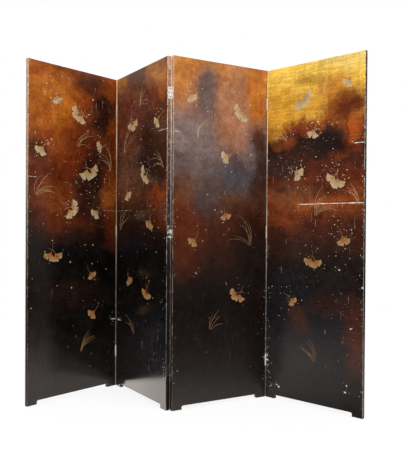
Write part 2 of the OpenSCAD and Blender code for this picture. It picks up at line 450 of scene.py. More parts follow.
# rubbed: (side, tone, share). fade: (height, tone). streaks: (stretch, contrast).
# clouds: (tone, x, z, reach across, reach up, softness, strength).
# scuffed: (x, z, reach across, reach up, strength).
# squares: the heights between which the squares of metal leaf come in.
# calm: the heights between which the mottling fades, and above which there is no dust.
# waxed: the heights up to which it is full and gone, and how much these rise for each metre across.
FRONTS = {
    "leaf_1": {
        "seed": 1.7,
        "polish": 1.55,
        "billow": 0.8,
        "patina": 0.8,
        "grain": 0.20,
        "rubbed": (("Left", CREAM, 0.21), ("Right", DARK_BROWN, 0.14), ("Ends", DARK_BROWN, 0.28)),
        "fade": (
            (0.0, PITCH), (0.78, PITCH), (0.87, SMOKE), (0.95, UMBER), (1.06, CHESTNUT),
            (1.24, RUST), (1.45, COPPER), (1.8, COPPER),
        ),
        "clouds": (
            (AMBER, 0.10, 1.62, 0.19, 0.22, 0.6, 0.9),
            (COPPER, 0.15, 1.38, 0.18, 0.09, 0.8, 0.6),
            (RUST, 0.40, 1.44, 0.16, 0.13, 0.8, 0.8),
            (UMBER, 0.05, 1.34, 0.06, 0.05, 0.8, 0.7),
            (SMOKE, 0.41, 1.22, 0.08, 0.16, 0.7, 0.9),
            (UMBER, 0.34, 1.10, 0.07, 0.14, 0.8, 0.7),
            (UMBER, 0.47, 1.60, 0.08, 0.13, 0.7, 0.85),
            (PITCH, 0.46, 1.58, 0.04, 0.12, 0.8, 0.6),
            (SMOKE, 0.40, 1.76, 0.10, 0.06, 0.8, 0.7),
            (COPPER, 0.54, 1.74, 0.05, 0.07, 0.8, 0.6),
            (COPPER, 0.53, 1.12, 0.06, 0.16, 0.8, 0.8),
            (COPPER, 0.14, 1.08, 0.13, 0.12, 0.8, 0.6),
            (RUST, 0.20, 0.95, 0.18, 0.05, 0.9, 0.6),
            (UMBER, 0.20, 0.88, 0.20, 0.04, 0.9, 0.5),
            (SMOKE, 0.42, 0.96, 0.06, 0.07, 0.8, 0.3),
            (COPPER, 0.52, 0.92, 0.05, 0.06, 0.9, 0.4),
            (AMBER, 0.53, 1.14, 0.05, 0.10, 0.9, 0.35),
            (RUST, 0.52, 0.85, 0.05, 0.05, 0.9, 0.4),
            (UMBER, 0.30, 0.56, 0.20, 0.06, 0.9, 0.35),
            (SMOKE, 0.06, 0.46, 0.09, 0.42, 0.9, 0.8),
        ),
        "streaks": (UPRIGHT_STREAKS, 0.10),
        "scuffed": ((0.10, 0.20, 0.10, 0.16, 0.35),),
    },
    "leaf_2": {
        "seed": 4.1,
        "polish": 1.85,
        "billow": 0.7,
        "patina": 0.45,
        "grain": 0.20,
        "rubbed": (("Left", WORN_BROWN, 0.14), ("Right", WORN_BROWN, 0.175), ("Ends", DARK_BROWN, 0.28)),
        "fade": (
            (0.0, PITCH), (0.80, PITCH), (0.92, SMOKE), (1.02, UMBER), (1.16, CHESTNUT), (1.34, CHESTNUT),
            (1.50, CHESTNUT), (1.64, RUST), (1.74, TOBACCO), (1.8, TOBACCO),
        ),
        "clouds": (
            # The first cloud is a faint painted sheen, a soft reflection of light put into the colour
            (PAINTED_SHEEN, 0.28, 1.50, 0.30, 0.35, 0.9, 0.12),
            (HONEY, 0.06, 1.77, 0.08, 0.05, 0.8, 0.6),
            (TOBACCO, 0.25, 1.74, 0.13, 0.06, 0.9, 0.8),
            (HONEY, 0.48, 1.74, 0.13, 0.06, 0.8, 0.7),
            (AMBER, 0.52, 1.66, 0.08, 0.05, 0.8, 0.6),
            (TOBACCO, 0.28, 1.65, 0.08, 0.05, 0.9, 0.6),
            (COPPER, 0.12, 1.48, 0.16, 0.12, 0.9, 0.35),
            (TOBACCO, 0.08, 1.38, 0.12, 0.08, 0.9, 0.4),
            (TOBACCO, 0.15, 1.14, 0.16, 0.07, 0.9, 0.5),
            (TOBACCO, 0.12, 1.24, 0.15, 0.08, 0.9, 0.8),
            (SMOKE, 0.40, 1.29, 0.15, 0.15, 0.6, 0.85),
            (UMBER, 0.42, 1.46, 0.14, 0.10, 0.8, 0.8),
            (COPPER, 0.48, 1.10, 0.11, 0.07, 0.8, 0.75),
            (RUST, 0.52, 0.98, 0.10, 0.07, 0.9, 0.7),
            (BLUE_BLACK, 0.17, 0.83, 0.12, 0.05, 0.9, 0.6),
            (BLUE_BLACK, 0.42, 0.32, 0.15, 0.16, 0.9, 0.6),
        ),
        "streaks": (LEVEL_STREAKS, 0.28),
        "scuffed": ((0.43, 0.30, 0.15, 0.18, 0.85), (0.20, 0.30, 0.12, 0.10, 0.4)),
        "waxed": (0.005, 0.050, 0.245),
    },
    "leaf_3": {
        "seed": 7.3,
        "polish": 1.55,
        "billow": 0.5,
        "patina": 0.45,
        "grain": 0.13,
        "rubbed": (("Left", PALE_GOLD, 0.175), ("Right", DARK_BROWN, 0.28), ("Ends", DARK_BROWN, 0.28)),
        # The pale greys of this fade at 1.28 and 1.42 m are a painted sheen, a soft reflection of light
        # high in the middle
        "fade": (
            (0.0, WARM_PITCH), (0.52, WARM_PITCH), (0.64, SMOKE), (0.78, UMBER), (0.95, CHESTNUT),
            (1.12, TOBACCO), (1.28, PAINTED_SHEEN_DARK), (1.42, PAINTED_SHEEN), (1.60, ROSEWOOD), (1.8, HONEY),
        ),
        # The pale grey clouds here are painted sheen too, soft reflected light put into the colour
        "clouds": (
            (PAINTED_SHEEN, 0.20, 1.27, 0.20, 0.12, 0.95, 0.25),
            (HONEY, 0.03, 1.72, 0.09, 0.15, 0.8, 0.9),
            (ROSEWOOD, 0.38, 1.62, 0.12, 0.20, 0.8, 0.8),
            (PAINTED_SHEEN_DARK, 0.20, 1.60, 0.06, 0.17, 0.8, 0.9),
            (PAINTED_SHEEN, 0.10, 1.44, 0.13, 0.09, 0.9, 0.8),
            (ROSEWOOD, 0.34, 1.44, 0.10, 0.11, 0.8, 0.85),
            (AMBER, 0.51, 1.66, 0.08, 0.17, 0.6, 0.9),
            (HONEY, 0.52, 1.72, 0.06, 0.08, 0.9, 0.6),
            (CHESTNUT, 0.53, 1.42, 0.07, 0.06, 0.8, 0.8),
            (PAINTED_SHEEN, 0.18, 1.30, 0.13, 0.08, 0.9, 0.6),
            (PAINTED_SHEEN_DARK, 0.30, 1.27, 0.12, 0.07, 0.9, 0.6),
            (SLATE, 0.37, 1.20, 0.12, 0.08, 0.8, 0.85),
            (SLATE, 0.18, 1.08, 0.10, 0.10, 0.9, 0.6),
            (UMBER, 0.55, 1.26, 0.06, 0.16, 0.9, 0.8),
            (CHESTNUT, 0.45, 1.02, 0.10, 0.06, 0.9, 0.7),
            (COPPER, 0.05, 1.06, 0.06, 0.08, 0.9, 0.35),
            (RUST, 0.07, 0.92, 0.11, 0.13, 0.9, 0.7),
            (RUST, 0.04, 0.74, 0.07, 0.07, 0.9, 0.35),
            (UMBER, 0.53, 1.12, 0.06, 0.14, 0.9, 0.6),
            (PITCH, 0.48, 0.82, 0.13, 0.18, 0.8, 0.7),
        ),
        "streaks": (UPRIGHT_STREAKS, 0.08),
        "scuffed": ((0.35, 0.34, 0.20, 0.14, 0.25),),
    },
    "leaf_4": {
        "seed": 9.6,
        "polish": 1.52,
        "billow": 0.6,
        "patina": 0.6,
        "grain": 0.20,
        "rubbed": (("Left", SPLASH, 0.21), ("Right", SPLASH, 0.21), ("Ends", RIM_GOLD, 0.28)),
        "fade": (
            (0.0, PITCH), (0.44, BLUE_BLACK), (0.72, SMOKE), (0.84, UMBER), (0.94, CHESTNUT),
            (1.08, COPPER), (1.17, RUST), (1.26, CHESTNUT), (1.40, UMBER), (1.455, COPPER),
            (1.53, OLD_GOLD), (1.8, GOLD),
        ),
        "clouds": (
            (GOLD, 0.28, 1.77, 0.40, 0.06, 0.8, 0.8),
            (OLIVE_GOLD, 0.24, 1.71, 0.10, 0.025, 0.9, 0.6),
            (OLIVE_GOLD, 0.12, 1.62, 0.12, 0.03, 0.9, 0.4),
            (AMBER, 0.43, 1.66, 0.08, 0.08, 0.7, 0.6),
            (COPPER, 0.46, 1.54, 0.12, 0.08, 0.7, 0.9),
            (RIM_GOLD, 0.50, 1.80, 0.16, 0.06, 0.95, 0.5),
            (RUST, 0.51, 1.545, 0.08, 0.075, 0.9, 0.9),
            (ORANGE, 0.51, 1.42, 0.05, 0.08, 0.95, 0.6),
            (UMBER, 0.475, 1.42, 0.012, 0.10, 0.9, 0.5),
            (AMBER, 0.36, 1.66, 0.08, 0.05, 0.95, 0.5),
            (BLUE_BLACK, 0.385, 1.42, 0.05, 0.05, 0.8, 0.8),
            (OLD_GOLD, 0.05, 1.46, 0.07, 0.04, 0.8, 0.6),
            (SMOKE, 0.34, 1.36, 0.12, 0.05, 0.7, 0.85),
            (UMBER, 0.22, 1.33, 0.10, 0.05, 0.8, 0.8),
            (SMOKE, 0.05, 1.34, 0.07, 0.06, 0.8, 0.7),
            (COPPER, 0.13, 1.39, 0.06, 0.03, 0.9, 0.7),
            (COPPER, 0.44, 1.30, 0.05, 0.03, 0.9, 0.5),
            (RUST, 0.30, 1.28, 0.09, 0.02, 0.9, 0.5),
            (PLUM, 0.08, 1.24, 0.10, 0.06, 0.9, 0.8),
            (SMOKE, 0.20, 1.24, 0.05, 0.04, 0.9, 0.5),
            (RUST, 0.40, 1.20, 0.14, 0.05, 0.9, 0.6),
            (CHESTNUT, 0.30, 1.12, 0.05, 0.04, 0.9, 0.5),
            (RUST, 0.06, 1.02, 0.07, 0.04, 0.9, 0.5),
            (TOBACCO, 0.14, 1.10, 0.14, 0.06, 0.9, 0.6),
            (AMBER, 0.24, 1.05, 0.09, 0.03, 0.9, 0.4),
            (UMBER, 0.10, 1.12, 0.04, 0.02, 0.9, 0.6),
            (UMBER, 0.40, 1.13, 0.05, 0.03, 0.9, 0.5),
            (CHESTNUT, 0.36, 0.98, 0.08, 0.05, 0.9, 0.6),
            (COPPER, 0.52, 1.06, 0.07, 0.05, 0.9, 0.5),
            (COPPER, 0.10, 0.96, 0.10, 0.04, 0.9, 0.5),
            (CHESTNUT, 0.52, 0.88, 0.07, 0.06, 0.9, 0.6),
            (CHESTNUT, 0.21, 0.45, 0.06, 0.07, 0.8, 0.6),
            (CHESTNUT, 0.38, 0.54, 0.09, 0.05, 0.9, 0.5),
            (RUST, 0.51, 0.46, 0.06, 0.10, 0.9, 0.5),
            (RUST, 0.54, 0.30, 0.05, 0.10, 0.9, 0.5),
            (BLUE_BLACK, 0.12, 0.62, 0.18, 0.10, 0.9, 0.8),
        ),
        "streaks": (LEVEL_STREAKS, 0.30),
        "squares": (1.44, 1.53),
        "calm": (1.40, 1.56),
        "scuffed": ((0.15, 0.66, 0.14, 0.12, 0.3), (0.40, 0.34, 0.14, 0.12, 0.15)),
    },
}

# (reach, scale, seed) of the drifts that push the clouds about, one on another
CLOUD_DRIFTS = ((0.15, 4.2, 0.0), (0.08, 15.0, 2.0), (0.022, 60.0, 3.0))
# How far the broken noise frays a cloud's rim, and how far it lifts the fade, in metres
FRAY = 1.5
FRAY_UP = 0.22
# The share of each cloud's softness that is used
CLOUD_RIM = 0.75
# Clouds and scuffs reach right through the board
THROUGH = 5.0
# The share of the mottling that is left where a front is calm
CALMED_TO = 0.4
LEAF_SQUARE = 0.18
SQUARE_GAP = 0.0018
SQUARE_DARK = (0.86, 0.76, 0.56, 1.0)
SQUARE_LIGHT = (1.20, 1.20, 1.12, 1.0)
SQUARE_SEAM = (1.30, 1.30, 1.24, 1.0)
RUB_REACH = 0.004
# The height up to which smudges are full, the height where they end, and their share
SMUDGED = (0.7, 1.0, 0.22)
SCUFF_SHARE = 0.45
LINE_SHARE = 0.3
SPECK_SHARE = 0.8
# Roughness where the polish is whole, and where it is dulled
FRONT_GLOSS = (0.15, 0.45)
FRONT_RELIEF = 0.0007
# The wax is full up to the first of these, across the leaf, and down to a share of it at the next
WAX_THINS = (0.15, 0.56, 0.60)
WAX_IOR = 3.3
WAX_ROUGHNESS = 0.12


def leaf_squares(wires, place, seed):
    """The squares in which metal leaf was laid, each a little lighter or darker than the next."""
    placed = wires.group(CLOUD_DRIFT, Place=place, Reach=0.008, Scale=9.0, Seed=seed)
    across = wires.axis(placed, 0)
    flat = wires.lay("ShaderNodeCombineXYZ", {"X": across, "Y": wires.axis(placed, 2)}).outputs[0]
    inputs = {
        "Vector": flat, "Scale": 1.0, "Brick Width": LEAF_SQUARE, "Row Height": LEAF_SQUARE,
        "Color1": SQUARE_DARK, "Color2": SQUARE_LIGHT,
        "Mortar": SQUARE_SEAM, "Mortar Size": SQUARE_GAP, "Mortar Smooth": 0.6,
    }
    return wires.lay("ShaderNodeTexBrick", inputs, offset=0.0).outputs["Color"]


def patch_on(wires, drifted, x, z, across, up, soft, strength, fray=0.0):
    """The mask of one cloud or scuff on a leaf."""
    inputs = {
        "Place": drifted, "Centre": (x, 0.0, z), "Reach": (across, THROUGH, up),
        "Softness": soft, "Strength": strength, "Fray": fray,
    }
    return wires.group(CLOUD_PATCH, **inputs)


def clouded(wires, place, drifted, look):
    """The fade up one front, with its clouds on it."""
    broken = wires.grain(place, 13.0, 8.0, 0.68, look["seed"] + 7.0)
    frayed = wires.minus(broken, 0.5)
    lifted = wires.lay("ShaderNodeCombineXYZ", {"Z": wires.times(frayed, FRAY_UP)}).outputs[0]
    colour = by_height(wires, wires.vector("ADD", drifted, lifted), look["fade"])
    fray = wires.times(frayed, FRAY)
    for shade, x, z, across, up, soft, strength in look["clouds"]:
        mask = patch_on(wires, drifted, x, z, across, up, soft * CLOUD_RIM, strength, fray)
        colour = wires.mix(mask, colour, shade)
    return colour


def aged(wires, place, drifted, look, colour, mottle):
    """One front's colour with its billows, mottling, grain, brush streaks, squares of leaf and smudges."""
    seed = look["seed"]
    billow = wires.grain(drifted, 8.0, 6.0, 0.64, seed + 4.0)
    grain = wires.grain(place, 120.0, 4.0, 0.7, seed + 5.0)
    shadows = wires.grain(drifted, 11.0, 8.0, 0.7, seed + 8.0)
    lights = wires.grain(place, 17.0, 8.0, 0.72, seed + 9.0)
    height = wires.axis(place, 2)
    calmed = wires.span(height, *look["calm"], 1.0, CALMED_TO) if "calm" in look else 1.0
    mottled = wires.times(calmed, 0.7)
    shadowed = wires.times(calmed, look["patina"])
    colour = shaded(wires, colour, billow, 0.33, 0.67, DEEPENED, BRIGHTENED, look["billow"])
    colour = shaded(wires, colour, mottle, 0.32, 0.68, DEEPENED, BRIGHTENED, mottled)
    colour = shaded(wires, colour, shadows, 0.40, 0.52, REDDENED, grey(1.0), shadowed)
    colour = shaded(wires, colour, lights, 0.54, 0.68, grey(1.0), GILDED, look["patina"])
    colour = shaded(wires, colour, grain, 0.38, 0.62, grey(1 - look["grain"]), grey(1 + look["grain"]))
    stretch, contrast = look["streaks"]
    streaks = wires.group(BRUSH_STREAKS, Place=place, Stretch=stretch, Contrast=contrast, Seed=seed)
    colour = wires.tinted(colour, streaks)
    if "squares" in look:
        squares = leaf_squares(wires, place, seed)
        colour = wires.mix(wires.span(height, *look["squares"]), colour, squares, "MULTIPLY")
    full, gone, share = SMUDGED
    smudged = wires.times(wires.span(lights, 0.47, 0.60), wires.span(height, full, gone, share, 0.0))
    return wires.mix(smudged, colour, SMUDGE)


def hairline_scratches(wires, place, seed):
    """Fine scratches that run up, and fine ones that run level."""
    up_inputs = {"Place": place, "Stretch": (55.0, 1.0, 2.4), "Fineness": 0.005, "Share": 0.3, "Seed": seed}
    level_inputs = {**up_inputs, "Stretch": (2.6, 1.0, 48.0), "Seed": seed + 3.0}
    return wires.larger(wires.group(HAIRLINES, **up_inputs), wires.group(HAIRLINES, **level_inputs))


def scuffed(wires, place, drifted, look, colour):
    """One front's colour with its fields of close scratches."""
    inputs = {"Place": place, "Stretch": (75.0, 1.0, 7.0), "Fineness": 0.03, "Share": 1.0}
    scuffs = wires.group(HAIRLINES, **inputs, Seed=look["seed"] + 6.0)
    for x, z, across, up, strength in look["scuffed"]:
        field = patch_on(wires, drifted, x, z, across, up, 0.9, strength)
        colour = wires.mix(wires.times(scuffs, wires.times(field, SCUFF_SHARE)), colour, SLATE)
    return colour


def wax_foot(wires, surface, place, full, gone, lean):
    """Wax at a leaf's foot, in which the floor shows: higher and thinner to the right."""
    x = wires.axis(place, 0)
    up = wires.minus(wires.axis(place, 2), wires.times(x, lean))
    thick, thin, thin_share = WAX_THINS
    thinned = wires.span(x, thick, thin, 1.0, thin_share)
    wires.feed(surface["Coat Weight"], wires.times(wires.span(up, full, gone, 1.0, 0.0), thinned))
    surface["Coat IOR"].default_value = WAX_IOR
    surface["Coat Roughness"].default_value = WAX_ROUGHNESS


def front_lacquer(leaf):
    """Clouded lacquer of one front, polished, with brush streaks, specks, hairlines and scuffs."""
    look = FRONTS[leaf]
    seed = look["seed"]
    made, wires, surface, place = new_material(f"{leaf}_front_lacquer")
    drifted = place
    for reach, scale, shift in CLOUD_DRIFTS:
        drifted = wires.group(CLOUD_DRIFT, Place=drifted, Reach=reach, Scale=scale, Seed=seed + shift)
    mottle = wires.grain(place, 32.0, 7.0, 0.72, seed)
    colour = clouded(wires, place, drifted, look)
    colour = aged(wires, place, drifted, look, colour, mottle)
    colour = scuffed(wires, place, drifted, look, colour)
    rubs = wires.lay_group(EDGE_RUB, Place=place, Reach=RUB_REACH, Seed=seed)
    rub = 0.0
    for side, shade, share in look["rubbed"]:
        rub = wires.larger(rub, rubs[side])
        colour = wires.mix(wires.times(rubs[side], share), colour, shade)
    lines = hairline_scratches(wires, place, seed)
    specks = wires.group(SPECKS, Place=place, Spacing=0.016, Size=0.13, Share=0.22, Seed=seed)
    colour = wires.mix(wires.times(lines, LINE_SHARE), colour, GREY_HAIRLINE)
    colour = wires.mix(wires.times(specks, SPECK_SHARE), colour, CREAM)
    dulled = wires.larger(wires.times(lines, 0.6), wires.times(rub, 0.7))
    dulled = wires.plus(dulled, wires.span(mottle, 0.38, 0.66, 0.0, 0.3), clamp=True)
    height = wires.group(RIPPLE, Place=place, Seed=seed)
    finish_surface(wires, surface, colour, wires.between(dulled, *FRONT_GLOSS), height, FRONT_RELIEF)
    surface["IOR"].default_value = look["polish"]
    if "waxed" in look:
        wax_foot(wires, surface, place, *look["waxed"])
    return made


def plain_lacquer(name, dark, light, worn, seed, rub_share):
    """Dark lacquer without pictures, for backs and rails."""
    made, wires, surface, place = new_material(name)
    drifted = wires.group(CLOUD_DRIFT, Place=place, Reach=0.3, Scale=5.0, Seed=seed)
    broad = wires.grain(drifted, 3.0, 5.0, 0.6, seed)
    colour = wires.mix(wires.span(broad, 0.38, 0.68), dark, light)
    mottle = wires.grain(place, 30.0, 5.0, 0.66, seed + 2.0)
    colour = shaded(wires, colour, mottle, 0.30, 0.70, DEEPENED, BRIGHTENED, 0.7)
    streaks = wires.group(BRUSH_STREAKS, Place=place, Stretch=(90.0, 90.0, 4.0), Contrast=0.25, Seed=seed)
    colour = wires.tinted(colour, streaks)
    rubbed = wires.grain(place, 70.0, 5.0, 0.7, seed + 1.0)
    rubbed = wires.span(rubbed, 0.72 - rub_share * 0.5, 0.78 - rub_share * 0.4)
    line_inputs = {"Stretch": (60.0, 60.0, 2.0), "Fineness": 0.004, "Share": 0.25, "Seed": seed}
    lines = wires.group(HAIRLINES, Place=place, **line_inputs)
    colour = wires.mix(wires.times(rubbed, 0.85), colour, worn)
    colour = wires.mix(wires.times(lines, 0.12), colour, GREY_HAIRLINE)
    specks = wires.group(SPECKS, Place=place, Spacing=0.03, Size=0.05, Share=0.12, Seed=seed)
    colour = wires.mix(wires.times(specks, 0.4), colour, GREY_HAIRLINE)
    dulled = wires.larger(rubbed, wires.times(lines, 0.4))
    dulled = wires.plus(dulled, wires.span(mottle, 0.35, 0.75, 0.0, 0.25), clamp=True)
    height = wires.group(RIPPLE, Place=place, Seed=seed)
    finish_surface(wires, surface, colour, wires.between(dulled, 0.18, 0.55), height, 0.0006)
    return made


# The tones of edges and beads at their heights on the leaf, in metres

EDGE_POLISH = 1.28
EDGE_FADE = (
    (0.0, tone(24, 21, 21)), (0.4, tone(30, 25, 25)), (0.76, tone(42, 31, 33)),
    (1.06, tone(66, 49, 51)), (1.26, tone(100, 72, 64)), (1.46, tone(134, 102, 88)),
    (1.68, tone(190, 140, 108)), (1.8, tone(206, 160, 132)),
)
OUTER_EDGE_FADES = {
    "leaf_1": (
        (0.0, tone(34, 31, 30)), (0.6, tone(52, 47, 44)), (0.95, tone(108, 102, 97)),
        (1.25, tone(176, 150, 126)), (1.8, tone(192, 166, 138)),
    ),
    "leaf_4": (
        (0.0, tone(104, 102, 100)), (0.34, tone(84, 82, 80)), (0.44, tone(32, 29, 29)),
        (0.9, tone(36, 30, 30)), (1.4, tone(56, 43, 43)), (1.8, tone(84, 66, 52)),
    ),
}
COOLED = (0.50, 0.52, 0.56, 1.0)
WORN_FADE = ((0.0, COOLED), (0.7, COOLED), (1.05, grey(0.72)), (1.5, grey(1.0)))
FLAKED_FADE = ((0.0, grey(0.5)), (0.6, grey(0.6)), (0.8, grey(1.0)), (1.8, grey(1.0)))
BEAD_FADES = {
    "left_valley_bead": (
        (0.0, tone(110, 106, 102)), (0.4, tone(84, 74, 70)), (0.64, tone(78, 72, 70)),
        (0.9, tone(164, 142, 124)), (1.18, tone(134, 98, 74)), (1.5, tone(228, 196, 166)),
        (1.8, tone(240, 196, 154)),
    ),
    "ridge_bead": (
        (0.0, tone(30, 25, 24)), (0.7, tone(44, 35, 33)), (0.88, tone(110, 92, 84)),
        (1.2, tone(176, 160, 148)), (1.6, tone(228, 220, 208)), (1.8, tone(226, 204, 184)),
    ),
    "right_valley_dark_bead": (
        (0.0, tone(28, 25, 24)), (0.5, tone(34, 28, 26)), (0.9, tone(70, 50, 42)),
        (1.3, tone(84, 58, 46)), (1.8, tone(98, 66, 40)),
    ),
    "right_valley_pale_bead": (
        (0.0, tone(44, 41, 40)), (0.3, tone(80, 76, 72)), (0.5, tone(66, 61, 58)),
        (0.74, tone(140, 134, 128)), (0.95, tone(222, 198, 178)), (1.15, tone(150, 128, 116)),
        (1.45, tone(250, 216, 156)), (1.8, tone(255, 234, 170)),
    ),
}


def edge_lacquer(name, fade, pale_share, seed):
    """Lacquer of the leaves' edges: dark at the foot, handled pale at the top, flaked along its length."""
    made, wires, surface, place = new_material(name)
    colour = by_height(wires, place, fade)
    streaks = wires.group(BRUSH_STREAKS, Place=place, Stretch=(260.0, 260.0, 9.0), Contrast=0.35, Seed=seed)
    colour = wires.tinted(colour, streaks)
    mottle = wires.grain(place, 40.0, 5.0, 0.7, seed)
    colour = shaded(wires, colour, mottle, 0.35, 0.62, DEEPENED, BRIGHTENED)
    flakes = wires.drawn_grain(place, (150.0, 150.0, 70.0), 5.0, 0.7, seed + 1.0)
    kept = wires.span(wires.axis(place, 2), 0.7, 1.4, 0.07, 0.0)
    whole = 0.68 - pale_share * 0.3
    flaked = wires.span(wires.minus(flakes, kept), whole, whole + 0.04)
    pale = wires.tinted(by_height(wires, place, FLAKED_FADE), GESSO)
    colour = wires.mix(wires.times(flaked, 0.9), colour, pale)
    height = wires.minus(mottle, flaked)
    finish_surface(wires, surface, colour, wires.between(flaked, 0.34, 0.7), height, 0.0003)
    surface["IOR"].default_value = EDGE_POLISH
    return made


def worn_arris():
    """An arris, rubbed through to the pale ground in a ragged line where it is worn."""
    made, wires, surface, place = new_material("worn_arris")
    worn = wires.mark("worn")
    fine = wires.grain(place, 320.0, 5.0, 0.7, 1.0)
    broad = wires.grain(place, 70.0, 5.0, 0.68, 2.0)
    ragged_share = wires.span(wires.plus(fine, broad), 0.7, 1.3, -0.55, 0.55, smooth=False)
    bare = wires.span(wires.plus(worn, ragged_share), 0.42, 0.56)
    pale = wires.mix(wires.span(fine, 0.40, 0.52, 1.0, 0.0), GESSO, CREAM)
    dark = wires.mix(wires.span(broad, 0.45, 0.6), DARK_BROWN, TOBACCO)
    colour = wires.tinted(wires.mix(bare, dark, pale), by_height(wires, place, WORN_FADE))
    finish_surface(wires, surface, colour, wires.between(bare, 0.3, 0.75), wires.minus(fine, bare), 0.0003)
    return made


def rubbed_gesso(name, pale, dark, share, seed):
    """Where the lacquer is gone: the pale ground with brown left in its hollows."""
    made, wires, surface, place = new_material(name)
    fine = wires.grain(place, 220.0, 4.0, 0.7, seed)
    broad = wires.grain(place, 26.0, 3.0, 0.6, seed + 1.0)
    both = wires.plus(wires.times(fine, 0.45), wires.times(broad, 0.55))
    brown = wires.span(both, share - 0.06, share + 0.06, 1.0, 0.0)
    colour = wires.mix(brown, pale, dark)
    finish_surface(wires, surface, colour, wires.between(brown, 0.75, 0.4), fine, 0.0004)
    return made


def worn_bead(name, fade, seed):
    """The rubbed line where two leaves meet: pale above, smeared dark lower down."""
    made, wires, surface, place = new_material(name)
    colour = by_height(wires, place, fade)
    patches = wires.drawn_grain(place, (60.0, 60.0, 26.0), 6.0, 0.72, seed)
    fine = wires.grain(place, 180.0, 4.0, 0.7, seed + 1.0)
    colour = shaded(wires, colour, patches, 0.38, 0.60, DEEPENED, BRIGHTENED)
    colour = shaded(wires, colour, fine, 0.32, 0.68, grey(0.78), grey(1.16))
    flakes = wires.drawn_grain(place, (140.0, 140.0, 60.0), 5.0, 0.7, seed + 2.0)
    colour = wires.mix(wires.span(flakes, 0.58, 0.62, 0.0, 0.75), colour, GESSO)
    roughness = wires.span(patches, 0.35, 0.65, 0.4, 0.7, smooth=False)
    finish_surface(wires, surface, colour, roughness, fine, 0.0002)
    return made


def leaf_gold(name, leaf, base, middle, rim, seed):
    """The raised gold: deeper at the stalk, powdered off at the rim, streaked along its ribs."""
    made, wires, surface, place = new_material(name)
    reach = wires.mark("reach")
    rib = wires.mark("rib")
    mottle = wires.grain(place, 120.0, 4.0, 0.65, seed)
    patches = wires.grain(place, 55.0, 5.0, 0.7, seed + 1.0)
    powder = wires.grain(place, 420.0, 3.0, 0.75, seed + 2.0)
    swing = wires.times(wires.plus(mottle, patches), 0.5)
    swayed = wires.plus(reach, wires.span(swing, 0.38, 0.62, -0.42, 0.30, smooth=False))
    colour = wires.ramp(swayed, [(0.0, base), (0.5, middle), (1.0, rim)])
    colour = wires.tinted(colour, wires.between(rib, 0.62, 1.12))
    powdered = wires.span(wires.plus(powder, patches), 0.7, 1.3, -0.5, 0.5, smooth=False)
    thinned = wires.plus(reach, powdered)
    bare = wires.larger(wires.span(patches, 0.56, 0.63), wires.span(thinned, 1.0, 1.08))
    ground = wires.tinted(by_height(wires, place, FRONTS[leaf]["fade"]), grey(0.75))
    colour = wires.mix(wires.times(bare, 0.85), colour, ground)
    roughness = wires.span(mottle, 0.3, 0.7, 0.34, 0.6, smooth=False)
    finish_surface(wires, surface, colour, roughness, mottle, 0.0002)
    return made


OLD_YELLOW = (0.86, 0.72, 0.5, 1.0)
PALE_YELLOW = (1.0, 0.96, 0.84, 1.0)
# The shades of the middle fold's brass and of the outer folds', by height
HANDLED_FADE = (
    (0.0, grey(0.03)), (0.4, grey(0.04)), (1.0, grey(0.06)), (1.3, grey(0.8)), (1.5, grey(1.0)),
)
FOLDED_FADE = ((0.0, grey(1.0)), (0.6, grey(0.8)), (1.1, OLD_YELLOW), (1.6, PALE_YELLOW))


def hinge_brass(name, fade, flecked, seed):
    """Old pale brass, brown in its pits, and smeared with lacquer where its fade is dark."""
    made, wires, surface, place = new_material(name)
    fine = wires.grain(place, 340.0, 4.0, 0.6, seed + 2.0)
    broad = wires.grain(place, 90.0, 5.0, 0.7, seed + 3.0)
    tarnish = wires.span(broad, 0.56, 0.66)
    colour = wires.tinted(BRASS, by_height(wires, place, fade))
    colour = wires.mix(wires.times(tarnish, 0.7), colour, BRASS_DARK)
    colour = shaded(wires, colour, fine, 0.3, 0.7, grey(0.84), grey(1.12))
    bare = wires.grain(place, 62.0, 6.0, 0.75, seed + 5.0)
    bare = wires.minus(bare, wires.span(wires.axis(place, 2), 0.3, 0.85, 0.11, 0.0))
    rubbed = wires.span(bare, 0.64 - flecked, 0.655 - flecked)
    colour = wires.mix(wires.times(rubbed, 0.95), colour, BRASS)
    line_inputs = {"Stretch": (260.0, 260.0, 30.0), "Fineness": 0.03, "Share": 0.8, "Seed": seed}
    lines = wires.group(HAIRLINES, Place=place, **line_inputs)
    rough = wires.plus(wires.times(tarnish, 0.3), wires.times(lines, 0.2))
    roughness = wires.span(rough, 0.0, 0.5, 0.36, 0.66, smooth=False)
    finish_surface(wires, surface, colour, roughness, fine, 0.00006)
    wires.feed(surface["Metallic"], wires.between(tarnish, 0.15, 0.08))
    return made


def screw_iron():
    """Dark iron screws, brighter where the driver slipped."""
    made, wires, surface, place = new_material("screw_iron")
    pits = wires.grain(place, 520.0, 4.0, 0.65, 1.0)
    bright = wires.span(pits, 0.52, 0.66)
    colour = wires.mix(bright, IRON, IRON_PALE)
    finish_surface(wires, surface, colour, wires.between(bright, 0.6, 0.35), pits, 0.00008)
    surface["Metallic"].default_value = 0.85
    return made


def core_wood(name, early, late, seed):
    """Straight spruce with fine upright grain."""
    made, wires, surface, place = new_material(name)
    drifted = wires.group(CLOUD_DRIFT, Place=place, Reach=0.02, Scale=2.0, Seed=seed)
    rings = wires.group(BRUSH_STREAKS, Place=drifted, Stretch=(320.0, 320.0, 1.6), Contrast=0.5, Seed=seed)
    late_share = wires.span(rings, 0.8, 1.3)
    colour = wires.mix(late_share, early, late)
    fibre_inputs = {"Stretch": (1500.0, 1500.0, 12.0), "Contrast": 0.15, "Seed": seed + 1.0}
    fibre = wires.group(BRUSH_STREAKS, Place=place, **fibre_inputs)
    colour = wires.tinted(colour, fibre)
    finish_surface(wires, surface, colour, wires.between(late_share, 0.72, 0.55), fibre, 0.0002)
    return made


